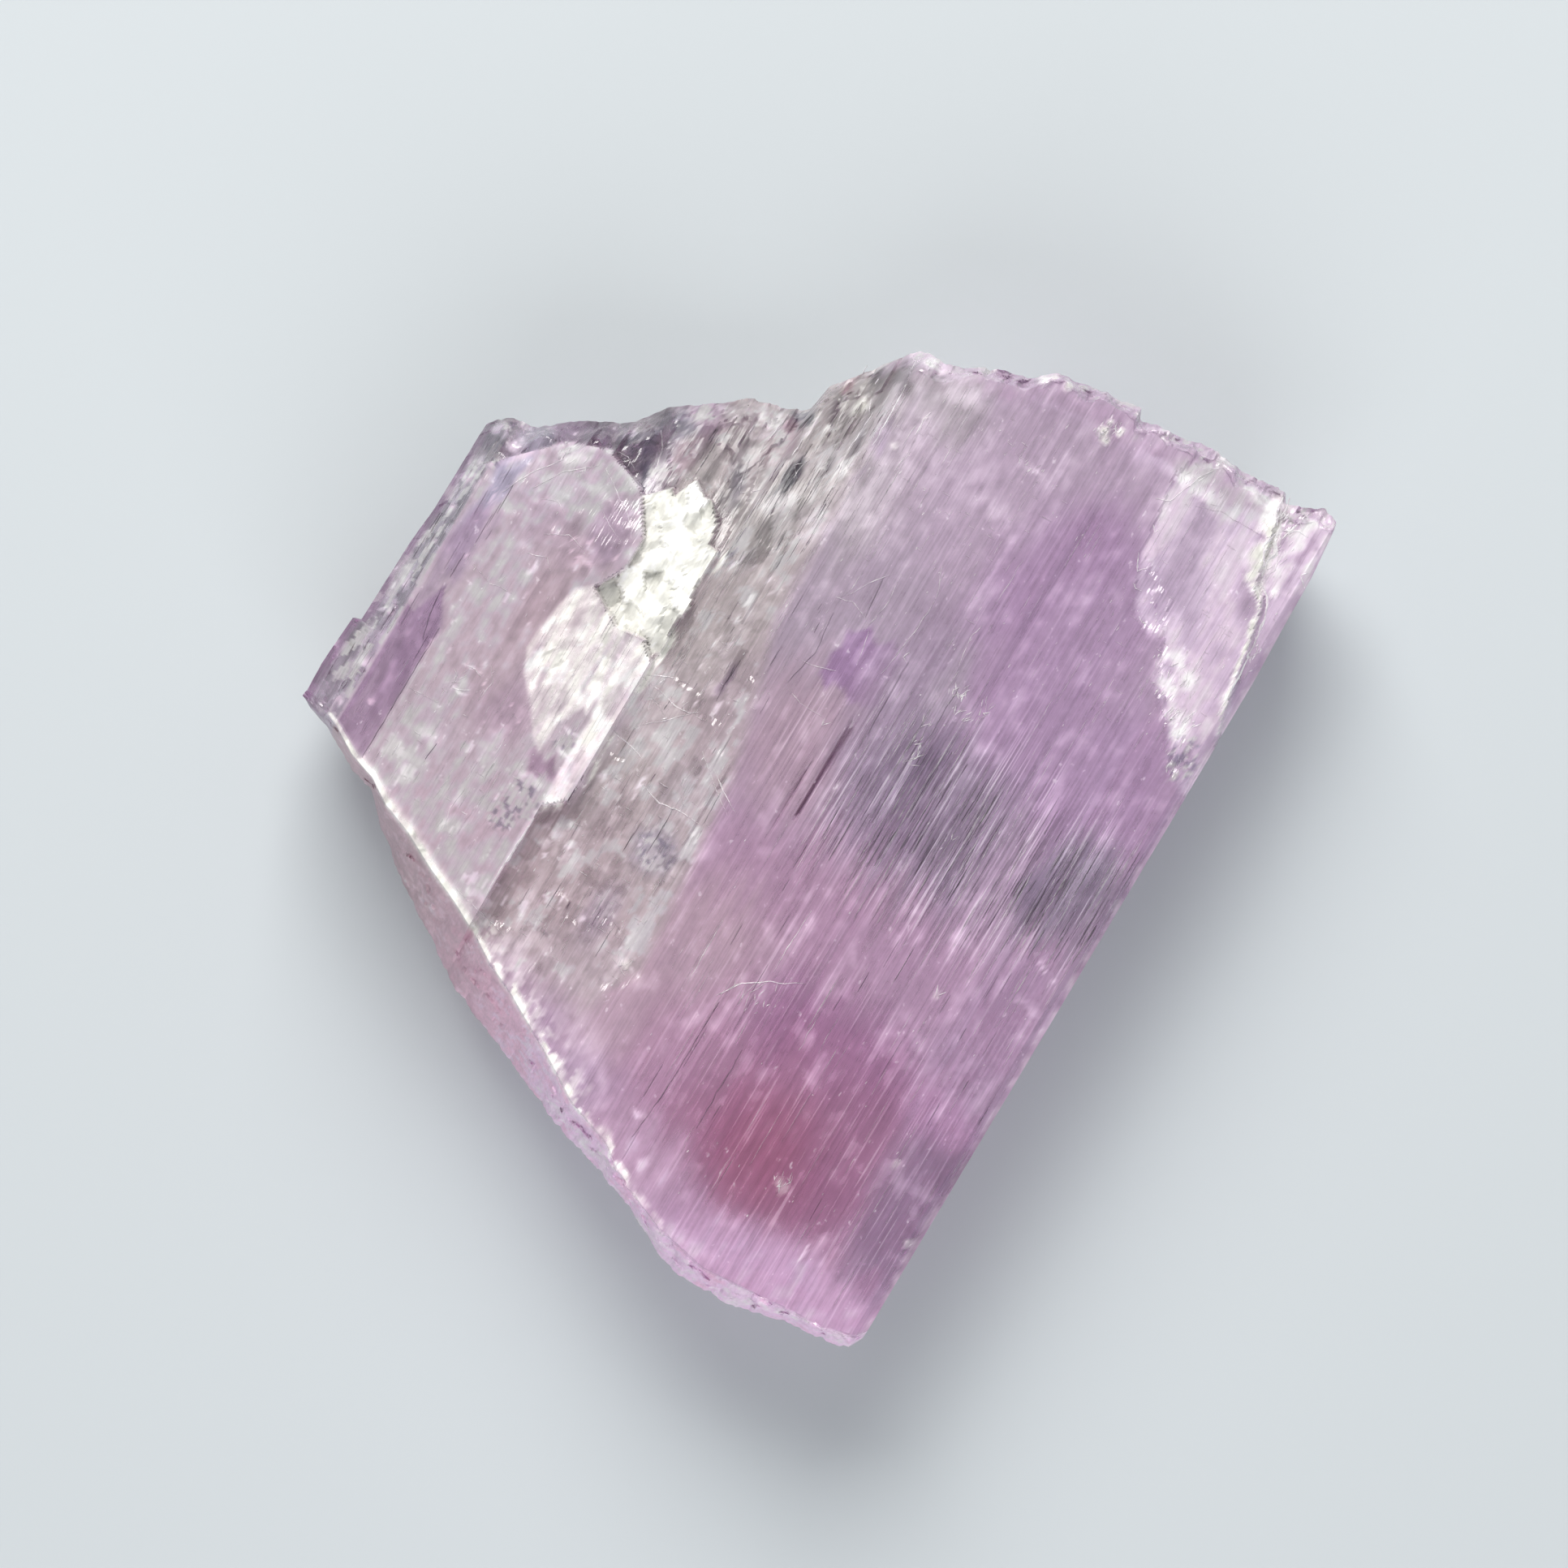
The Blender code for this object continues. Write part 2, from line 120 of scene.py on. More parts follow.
# The cracked corner: the crack's x at each y, and the drop of the wedge beside it
CRACK = [(20.0, 34.2), (24.6, 33.0), (28.2, 32.4), (31.9, 31.6), (33.2, 30.2), (38.8, 28.9), (41.5, 28.7)]
CRACK_HALF = 0.15
WEDGE_DROP = 1.0

# Growth steps of the broad face, grooves (x, lower and upper y, depth) and the steps of the back
STEP_RISE = 0.22
FIRST_STEP_X = -3.7
STEP_WIDTHS = (1.5, 3.8)
STEP_GAP = 0.9
GROOVES = [
    (6.95, -4.0, 6.6, 0.9), (5.65, -6.2, 1.4, 0.4), (9.3, -29.0, -25.5, 0.3), (13.6, -6.8, -0.5, 0.3),
]
GROOVE_HALF = 0.25
GROOVE_LEAN = 0.012
GROOVE_FADE = 1.5
BACK_STEPS = [(-24.0, 1.0), (-23.8, 0.0), (15.0, 0.0), (15.2, 0.8), (24.0, 0.8), (24.2, 1.7)]
BACK_GROOVE = (0.08, 0.7, 1.0)

# Insets of the walls, at each share of the way down from the front's outline
RIGHT_WALL = [(0.0, 0.0), (0.56, 0.6), (1.0, 5.2)]
LEFT_WALL = [(0.0, 0.0), (0.36, 0.4), (1.0, 4.4)]
LOWER_WALL = [(0.0, 0.0), (0.36, 0.4), (0.56, 1.3), (1.0, 2.2)]
UPPER_WALL = [(0.0, 0.0), (0.18, 1.0), (0.36, 0.4), (0.56, 1.5), (0.78, 1.2), (1.0, 2.4)]

# Rounded lumps: rise and size
FACE_WAVE = (0.12, 9.0)
LOWER_RAG = (0.25, 1.7)
UPPER_RAG = (0.35, 1.3)
TOOTH = (0.16, 0.5)
END_LUMP = (0.9, 2.6)
CHIP = (0.9, 1.9)
CHIP_WOBBLE = (0.5, 0.5)
SHOULDER_WANDER = (0.8, 2.2)
RIDGELET_WANDER = (0.1, 1.5)

# Curves of the ends and ripples of the walls
END_BULGE = 0.7
CHIP_SPREAD = 0.6
RIDGELET_FADE = 1.0
SLOPE_CURVE = 1.4
SLOPE_LEAST = 0.8
ETCHED_RIPPLE = 0.55
BROKEN_RIPPLE = 0.8
RIPPLE_SIZE = 2.4
LOWER_CRUMBS = 0.7

# Streaks and folds, which are drawn out: rise, then size across and along
FINE_STRIATION = (0.05, 0.55, 16.0)
COARSE_STRIATION = (0.08, 1.7, 34.0)
LAYER_FLAW = (0.12, 1.5, 4.0)
LAYER_FOLD = (0.22, 2.4, 1.6)
VEIL_STREAK = (0.25, 0.8, 5.0)
SPLINTER_RIDGE = (1.3, 1.6, 9.0)
WALL_RIPPLE = (0.2, 14.0, 1.2)
WALL_LINE = (0.12, 22.0, 0.9)
# The y from which the layer's folds rise, and the y where they are full
LAYER_FOLD_RANGE = (4.0, 8.0)

# Small flat facets, each with its own tilt and level: rise, then size across and along
SMALL_BLOCK = (0.07, 0.9, 1.5)
CRUMB = (0.65, 1.5, 2.0)
SPLINTER = (0.7, 1.0, 4.6)
END_GRAIN = (0.8, 1.3, 1.2)
FINE_GRAIN = (0.25, 0.5, 0.6)
SLOPE_FACET = (0.8, 1.0, 1.3)
EDGE_FACET = (1.4, 1.2, 1.0)
WALL_FACET = (0.7, 1.0, 1.2)
BEVEL_FACET = (0.35, 0.9, 1.4)
SCOOP_FACET = (0.5, 0.8, 0.9)
CHIP_FACET = (1.2, 0.4, 0.4)
# How much of a facet's rise is tilt, and how much is level
FACET_TILT = 1.3
FACET_LEVEL = 0.6
# Size of the patches with small blocks, and the noise from which they show
SMALL_BLOCK_PATCH = (5.0, -0.1)

# Raised lines of the face: x and y of their two ends, half width, rise
RIDGELETS = [
    (7.7, 18.4, 7.9, 9.0, 0.25, 0.16), (8.1, 13.6, 8.7, 4.6, 0.25, 0.18),
    (12.1, 18.4, 12.6, 9.6, 0.3, 0.18), (12.7, 9.6, 13.2, 3.8, 0.3, 0.18),
    (11.3, 13.0, 11.3, 4.0, 0.2, 0.12), (9.7, -19.8, 9.2, -32.0, 0.2, 0.12),
    (13.1, -22.4, 13.2, -30.0, 0.2, 0.10), (16.0, 18.2, 16.1, 14.3, 0.2, 0.12),
]

# Crust chips and crumbs that stand on the face: x, y, radius, rise
CHIPS = [
    (6.0, 38.9, 0.7, 0.6), (6.7, 39.6, 0.6, 0.6), (8.1, 39.4, 0.5, 0.4), (12.6, 37.6, 0.6, 0.4),
    (13.1, 37.0, 0.5, 0.3), (12.7, 38.4, 0.35, 0.3), (13.8, 38.2, 0.35, 0.25), (21.4, -30.2, 0.55, 0.06),
    (21.9, -30.7, 0.6, 0.05), (29.0, -23.9, 0.35, 0.06), (33.3, -29.2, 0.45, 0.1), (0.9, -21.4, 0.6, 0.08),
    (24.7, -10.2, 0.35, 0.04), (-6.0, 29.2, 0.9, 0.2), (-1.9, 27.6, 0.35, 0.1), (-0.8, 31.0, 0.3, 0.1),
    (5.9, -14.0, 0.2, 0.05), (29.7, 37.4, 0.7, 0.15), (30.3, 38.3, 0.6, 0.15), (29.9, 34.9, 0.8, 0.15),
    (31.8, 33.2, 0.5, 0.1),
]

# The shallow scoop in the right corner of the upper end, and the crumbly band along its lower border: the
# band's middle x and y, its lean and its half width, and the corner that is all crumbs
SCOOP = [
    (21.4, 43.0), (19.6, 37.4), (20.2, 33.6), (20.4, 30.6), (21.2, 28.6), (22.4, 26.4), (23.4, 25.4),
    (25.8, 25.4), (26.2, 24.2), (27.0, 22.2), (28.0, 20.6), (29.6, 19.2), (31.2, 17.8), (31.6, 16.0),
    (33.6, 15.0), (35.0, 15.0), (35.0, 43.0),
]
SCOOP_DROP = 0.2
SCOOP_BAND = (28.6, 21.5, 0.8, 2.6)
SCOOP_CORNER = (30.5, 18.6)

# Mesh spacing, and the angle in degrees from which an edge is sharp
CELL = 0.205
LEDGE_HALF = 0.14
END_ROWS = 18
FACE_ROWS = 190
SLOPE_ROWS = 12
WALL_LEVELS = 22
SHARP_ANGLE = 24.0

# Factors that scatter the pattern cells, and how the columns of square cells wander and stagger
HASH_I = 127.1
HASH_J = 311.7
HASH_SPREAD = 43758.5453
SQUARE_WAVE = (0.3, 3.1)
SQUARE_STAGGER = 3.0

# Closed outlines of parts with a tone of their own: the white veil on the layer's right side, the violet spot,
# the stripe beside the left bevel, the splinters and the pale fan
UNDER_VEIL = [
    (-17.4, 4.6), (-18.6, 3.6), (-19.1, 1.4), (-19.4, -1.0), (-19.5, -2.6), (-18.6, -4.6), (-16.8, -6.6),
    (-15.2, -8.8), (-14.4, -9.4), (-14.2, -6.8), (-13.0, -4.4), (-12.2, -5.2), (-11.8, -9.0),
    (-11.8, -14.0), (-11.2, -13.4), (-10.4, -10.0), (-10.0, -4.0), (-9.6, 0.2), (-10.6, 2.6), (-13.4, 3.2),
    (-15.8, 3.8),
]
SPOT = [
    (2.7, 12.4), (3.0, 11.0), (2.5, 10.2), (2.7, 9.0), (2.4, 8.2), (3.2, 7.4), (3.7, 7.0), (4.0, 8.0),
    (4.8, 8.0), (5.0, 7.4), (7.0, 7.3), (8.2, 7.9), (7.6, 10.0), (8.0, 12.6), (6.4, 13.6), (5.4, 12.2),
    (4.4, 13.4),
]
STRIPE = [
    (-30.1, -16.6), (-26.7, -18.0), (-26.7, -5.0), (-27.2, -3.4), (-28.2, -1.6), (-29.0, -4.6),
    (-30.1, -5.0),
]
SPLINTERS = [
    (-18.4, 14.0), (-19.0, 22.0), (-9.0, 28.0), (-8.0, 34.0), (-4.6, 37.0), (-3.4, 30.0), (-4.2, 22.0),
    (-5.6, 16.0), (-8.0, 12.6), (-9.8, 13.0), (-10.8, 15.6), (-12.6, 16.4), (-15.0, 16.6),
]
FAN = [
    (-10.0, 0.2), (-9.4, 2.6), (-7.4, 3.2), (-5.6, 1.9), (-5.4, 0.2), (-6.0, -1.6), (-8.4, -3.4),
    (-9.8, -4.0),
]

# Tones of the crystal as screen values: red, green, blue
LILAC = (180, 158, 181)
GREY_LILAC = (172, 160, 174)
VIOLET = (168, 142, 172)
ROSE = (174, 143, 166)
ROSE_BEIGE = (178, 154, 166)
PLUM = (152, 110, 142)
TIP_LILAC = (202, 169, 199)
BEIGE = (187, 179, 177)
OLIVE = (162, 159, 156)
BROWN_MAUVE = (160, 140, 148)
LOBE_PINK = (198, 186, 195)
WARM_PINK = (194, 174, 184)
LAVENDER_GLASS = (166, 162, 184)
# The grey glass and slate tones are painted dark, standing in for the dark background seen through the clear
# crystal
GREY_SEEN_THROUGH = (157, 147, 165)
SLATE_SEEN_THROUGH = (134, 128, 144)
# The pale and pink veil tones whiten both veils and painted glints and highlights
PALE_VEIL_AND_GLINT = (228, 213, 230)
PINK_VEIL_AND_HIGHLIGHT = (230, 196, 216)
# White of fresh breaks, also used for painted glints
FRESH_WHITE_AND_GLINT = (240, 240, 234)
# Painted shade in a groove
GROOVE_SHADE = (92, 74, 84)
SPOT_VIOLET = (150, 122, 158)
STRIPE_MAUVE = (146, 124, 150)
LEFT_TOP_GREY = (144, 136, 150)
SCOOP_PALE = (200, 186, 206)
RIM_PALE = (206, 188, 208)
SLOPE_BROWN = (172, 146, 152)
# Partly painted light: the slope's lilac is painted lighter to lift its shade
SLOPE_LILAC = (226, 178, 206)
# The upper bevel tone is painted lighter, partly as painted light that lifts the steep bevel's shade
BEVEL_UPPER = (162, 156, 170)
BEVEL_LOWER = (154, 142, 160)
BEVEL_CORNER = (124, 118, 132)
BEVEL_BORDER = (128, 100, 130)
SPLINTER_DARK = (112, 110, 114)
SPLINTER_PALE = (214, 210, 210)
SPLINTER_RIM = (236, 234, 232)
# Pale of cleavage blocks, partly a painted reflection of the cleavage planes
BLOCK_PALE_AND_REFLECTION = (222, 218, 218)
SQUARE_BRIGHT = (236, 236, 240)
SQUARE_DARK = (104, 104, 120)

# How screen tones become base colours under the studio light
TONE_CONTRAST = 0.3
TONE_PIVOT = 188.0
TONE_GAIN = 1.36
TONE_POWER = 0.73
BRIGHTEST_BASE = 0.95

# Colours of the thin pieces, and of the hairs and painted glints in the material
# The slits' colours are painted shade
SLIT_SHADE = (0.09, 0.06, 0.09, 1.0)
SLIT_PALE = (0.22, 0.17, 0.23, 1.0)
EDGE_GREY = (0.72, 0.68, 0.73, 1.0)
EDGE_WHITE = (0.92, 0.91, 0.91, 1.0)
HAIR_PALE_AND_GLINT = (0.78, 0.74, 0.80, 1.0)

# Noise patterns of the painting: size across and along the crystal, the pattern's number, and its octaves
STREAK = (0.8, 14.0, 3.0, 2)
CLOUD = (3.2, 4.6, 7.0, 3)
MOTTLE = (1.1, 1.5, 11.0, 2)
SHIFT = (0.7, 9.0, 15.0)
WANDER_X = (3.0, 4.0, 19.0)
WANDER_Y = (2.6, 4.0, 23.0)
VEIL_HAIR = (0.5, 4.0, 27.0)
FEATHER = (0.5, 5.0, 29.0)
FOLD_TONE = (1.6, 0.9, 41.0, 2)
LAYER_HAIR = (0.45, 2.2, 43.0)
WHITE_SPECK = (0.6, 1.6, 47.0, 3)

# Cell patterns: size across and along the crystal, and the pattern's number
WIDE_BLOCK = (1.3, 1.7, 3.0)
NARROW_BLOCK = (0.55, 0.9, 9.0)
COARSE_BLOCK = (2.1, 2.9, 5.0)
SMALL_SQUARE = (0.32, 0.42, 17.0)
CRUMB_CELL = (*CRUMB[1:], 3.0)
SMALL_CRUMB_CELL = (0.5, 0.8, 13.0)
GRAIN_CELL = (0.6, 0.7, 5.0)
GLINT_CELL = (0.8, 1.4, 21.0)
BROKEN_CELL = (1.1, 1.5, 25.0)
SLIVER_CELL = (0.75, 3.2, 31.0)

# Where the painting changes, as an x or a y of the face
FEATHER_X = -11.0
VEIL_REACH_X = -11.5
VEIL_RIM_X = -12.5
SPOT_FADE_X = 8.6
UPPER_RIM_X = -6.0
END_CRUST_X = 2.0
RIGHT_GLINT_X = 33.75
FRINGE_X = -9.6
LOW_FRINGE_X = -11.9
JAGGED_Y = -15.0
SCOOP_TOP = 37.4
LAYER_RIM_Y = 7.0
# The same as a corner: x and y
LEFT_TOP = (-15.5, 8.0)
GLASSY_CORNER = (-29.8, 8.6)
# The same as a range: where it starts and where it ends
GLASSY_X = (-26.5, -18.6)
FRINGE_Y = (-13.0, 3.0)
LOW_FRINGE_Y = (-23.5, -14.0)
# Gradual changes: where one starts, and how wide it is
SLOPE_SHADE = (-17.0, 20.0)
BEVEL_SHADE = (-1.0, 6.0)
BEVEL_GLINT = (-16.0, 6.0)
FOLD_TONE_Y = (3.0, 4.0)
SIDE_FADE = 0.4
BEVEL_BORDER_WIDE = 0.85
# The ridge's white crest: its left end, the x where it turns crumbly, its right end, and its width at each x
CREST_X = (-31.0, -11.0, 15.0)
CREST_WIDE = [(-31.0, 0.15), (-26.0, 0.45), (-20.0, 0.6), (-11.0, 0.45), (-4.0, 0.6), (3.0, 0.6), (9.0, 0.35),
              (14.0, 0.2)]
CREST_CRUMBS_X = (-13.0, 4.0)
# Width of the corner crack at each y
CRACK_WIDE = [(20.0, 0.12), (32.0, 0.22), (33.5, 1.0), (39.0, 0.9)]

# Soft ellipses: middle x and y, half width, half length, turn in degrees, and how soft the border is
LINED_FACE = (19.0, 2.0, 15.0, 9.0, 0, 0.4)
LINED_END = (24.0, -24.0, 16.0, 14.0, 0, 0.5)
CLEAR_EDGE = (29.5, 2.6, 4.4, 5.0, 0, 0.4)
CLEAR_MIDDLE = (16.0, 3.0, 7.0, 6.0, 0, 0.4)

# The face's colour zones in painting order: the same six values, then tone and strength
ZONES = [
    (0.0, 14.0, 10.0, 14.0, 0, 0.5, GREY_LILAC, 0.9), (-1.6, 28.0, 4.0, 9.0, 0, 0.5, (182, 177, 179), 0.9),
    (8.0, 30.0, 12.0, 9.0, 0, 0.5, (183, 166, 184), 0.9),
    (0.0, 33.5, 3.6, 3.0, 0, 0.6, (168, 162, 166), 0.8),
    (3.0, -25.4, 4.0, 4.0, -20, 0.6, (198, 174, 184), 0.7), (18.0, 24.0, 7.0, 8.0, 0, 0.4, VIOLET, 0.9),
    (24.0, 13.0, 10.0, 6.5, 0, 0.4, VIOLET, 0.95), (29.0, 10.0, 4.6, 7.0, 0, 0.4, VIOLET, 0.8),
    (17.6, 29.6, 2.6, 3.4, 0, 0.8, (160, 132, 164), 0.6), (13.0, 21.5, 2.4, 3.4, 0, 0.8, VIOLET, 0.7),
    (4.0, 2.0, 5.0, 7.0, 0, 0.6, ROSE_BEIGE, 0.7), (10.5, 9.0, 4.0, 9.0, 0, 0.6, (158, 144, 162), 0.8),
    # The zones in grey glass and slate are painted dark windows, standing in for the dark background seen
    # through
    (12.4, 12.6, 1.0, 4.0, 0, 0.6, (172, 162, 174), 0.7), (16.0, 3.6, 7.0, 5.6, 0, 0.6, GREY_SEEN_THROUGH, 0.75),
    (30.2, 3.0, 3.6, 5.0, 0, 0.4, GREY_SEEN_THROUGH, 0.95), (27.6, 1.4, 1.9, 2.4, 0, 0.6, (140, 130, 148), 0.7),
    (21.0, -2.6, 1.5, 2.8, 0, 0.6, (140, 126, 146), 0.7),
    (14.2, 6.0, 1.2, 2.6, 0, 0.7, (140, 130, 148), 0.7), (30.9, 3.4, 1.4, 3.4, 0, 0.5, SLATE_SEEN_THROUGH, 0.6),
    (12.0, -10.0, 13.0, 6.0, 0, 0.5, ROSE, 0.9), (5.0, -18.0, 7.0, 7.0, 0, 0.5, (182, 159, 170), 0.9),
    (24.0, -9.0, 8.0, 5.0, 0, 0.6, (176, 146, 172), 0.8),
    (30.6, -10.0, 3.2, 8.0, 0, 0.5, (158, 134, 160), 0.7), (20.0, -19.0, 9.0, 4.6, 0, 0.6, PLUM, 0.85),
    (10.0, -27.0, 5.4, 7.0, 0, 0.5, (174, 138, 162), 0.8),
    (19.0, -27.8, 7.2, 7.4, 0, 0.75, (154, 110, 135), 1.0),
    (19.6, -29.4, 5.4, 4.8, 0, 0.9, (149, 97, 119), 0.9),
    (26.2, -27.0, 3.4, 7.4, 0, 0.8, (142, 102, 126), 0.85),
    (32.0, -26.0, 3.0, 9.0, 0, 0.6, (130, 112, 133), 0.95),
    (31.0, -19.0, 3.0, 2.0, 0, 0.6, (178, 144, 176), 0.7),
    (26.0, -38.0, 13.0, 3.6, 0, 0.4, TIP_LILAC, 0.95),
    (9.0, -35.0, 5.0, 3.6, 10, 0.5, (196, 166, 190), 0.9),
    (31.8, -33.6, 1.0, 1.2, 0, 0.5, (158, 126, 152), 0.6),
    (-3.2, 27.6, 0.6, 1.3, 0, 0.6, (168, 148, 176), 0.8),
    (24.4, 38.6, 5.0, 1.9, 0, 0.5, (224, 210, 224), 0.85),
    (33.6, 25.4, 0.5, 3.6, 0, 0.4, (112, 92, 118), 0.85),
    (-3.8, 13.6, 0.4, 1.8, 0, 0.6, (160, 136, 168), 0.8),
    (-3.4, 23.0, 0.4, 1.4, 0, 0.6, (166, 146, 174), 0.7),
]
LAYER_ZONES = [
    (-22.0, 0.0, 6.0, 14.0, 0, 0.6, WARM_PINK, 0.6),
    (-22.0, 11.5, 5.5, 4.0, -20, 0.5, (204, 191, 201), 0.9),
    (-20.6, 6.6, 2.6, 1.8, 0, 0.7, (164, 146, 158), 0.8),
    (-18.2, 9.0, 1.6, 2.6, 0, 0.5, (168, 148, 168), 0.8),
    (-24.6, 1.6, 2.2, 3.4, 0, 0.8, (206, 190, 202), 0.6),
    (-20.4, 0.4, 1.6, 4.0, 0, 0.7, (176, 156, 164), 0.7),
    (-18.4, -7.6, 2.4, 3.0, 0, 0.6, (168, 148, 164), 0.8),
    (-21.0, -5.0, 1.6, 2.4, 0, 0.7, (176, 160, 168), 0.6),
    (-23.6, -12.6, 2.4, 2.2, 0, 0.8, (204, 190, 204), 0.6),
    (-18.0, -19.0, 7.0, 4.4, 20, 0.5, (203, 184, 196), 0.9),
    (-13.6, -10.4, 1.5, 0.8, 0, 0.4, (150, 124, 148), 0.7),
    (-27.7, -4.6, 1.0, 1.8, 0, 0.6, (126, 106, 134), 0.8),
    (-28.4, 2.4, 1.3, 3.4, 0, 0.4, (160, 142, 166), 0.9),
    (-28.4, 9.0, 0.8, 5.0, -12, 0.4, LAVENDER_GLASS, 0.9),
    (-29.4, -2.4, 0.7, 4.0, 0, 0.5, (164, 148, 166), 0.8),
    (-24.6, 7.6, 2.0, 2.0, 0, 0.8, (186, 166, 184), 0.5),
]
COLOURLESS_ZONES = [
    (-5.0, -19.0, 5.0, 6.0, 0, 0.6, BROWN_MAUVE, 0.25),
    (-8.0, -8.0, 2.4, 4.0, 0, 0.6, (190, 184, 181), 0.8),
    (-10.4, -11.0, 0.6, 5.0, 0, 0.5, (168, 156, 158), 0.8),
    # Painted shadow: the brownish band just right of the layer's lower ledge
    (-10.4, -18.4, 1.0, 3.4, 0, 0.5, (176, 162, 164), 0.6),
    (-1.8, -11.8, 1.8, 1.8, 0, 0.6, (150, 148, 160), 0.7),
    (-3.0, -18.8, 1.2, 2.6, 0, 0.6, (152, 142, 154), 0.7),
    (-2.0, -23.6, 3.6, 3.0, 0, 0.7, (190, 180, 184), 0.6),
    (-1.6, -6.2, 2.6, 2.6, 0, 0.6, (196, 188, 190), 0.7),
    (-2.0, 2.0, 3.0, 6.0, 0, 0.6, (176, 162, 168), 0.6),
    (-3.9, 3.4, 0.4, 1.6, 0, 0.4, (128, 112, 130), 0.7),
    (-6.4, 8.0, 2.6, 6.0, 0, 0.6, (182, 176, 174), 0.7),
    (-6.6, -11.0, 1.4, 3.4, 0, 0.7, (164, 152, 156), 0.6),
    (1.0, 8.0, 1.6, 5.0, 0, 0.7, (178, 164, 172), 0.5),
]
SPLINTERED_ZONES = [
    (-12.0, 22.0, 4.6, 4.0, 0, 0.6, (174, 164, 167), 0.8),
    (-10.2, 23.2, 1.0, 2.4, 0, 0.3, (156, 136, 144), 0.85),
    (-16.6, 17.8, 1.0, 2.6, 0, 0.4, (158, 138, 146), 0.8),
    (-8.0, 18.6, 2.0, 2.6, 0, 0.5, (158, 154, 152), 0.9),
    (-8.1, 20.6, 0.55, 2.6, -4, 0.3, (80, 82, 88), 0.9),
    (-7.3, 18.0, 0.3, 1.6, 6, 0.4, (110, 108, 110), 0.8),
    (-11.6, 18.4, 0.6, 1.6, 20, 0.4, (104, 102, 110), 0.75),
    (-9.7, 26.0, 1.0, 0.6, 0, 0.5, (78, 84, 88), 0.8),
    (-8.2, 30.6, 0.8, 1.2, 20, 0.4, (166, 144, 146), 0.8),
    (-5.8, 24.0, 0.4, 1.4, 0, 0.4, (112, 112, 114), 0.7),
    (-11.0, 16.2, 0.5, 1.2, 0, 0.4, (130, 126, 132), 0.7),
    (-17.4, 22.4, 2.0, 2.0, 30, 0.5, (160, 136, 158), 0.8),
    (-21.0, 17.0, 1.6, 1.2, 0, 0.4, (124, 122, 138), 0.85),
    (-19.4, 17.0, 0.5, 2.2, 8, 0.3, (100, 100, 116), 0.8),
    (-18.6, 14.8, 0.4, 1.4, 18, 0.3, (88, 88, 102), 0.8),
    (-18.2, 20.4, 1.4, 1.2, 0, 0.5, (142, 144, 156), 0.7),
    (-25.0, 15.2, 2.6, 1.2, 28, 0.4, (146, 122, 150), 0.9),
    (-27.8, 12.6, 1.6, 1.4, 0, 0.5, (160, 160, 174), 0.8),
]
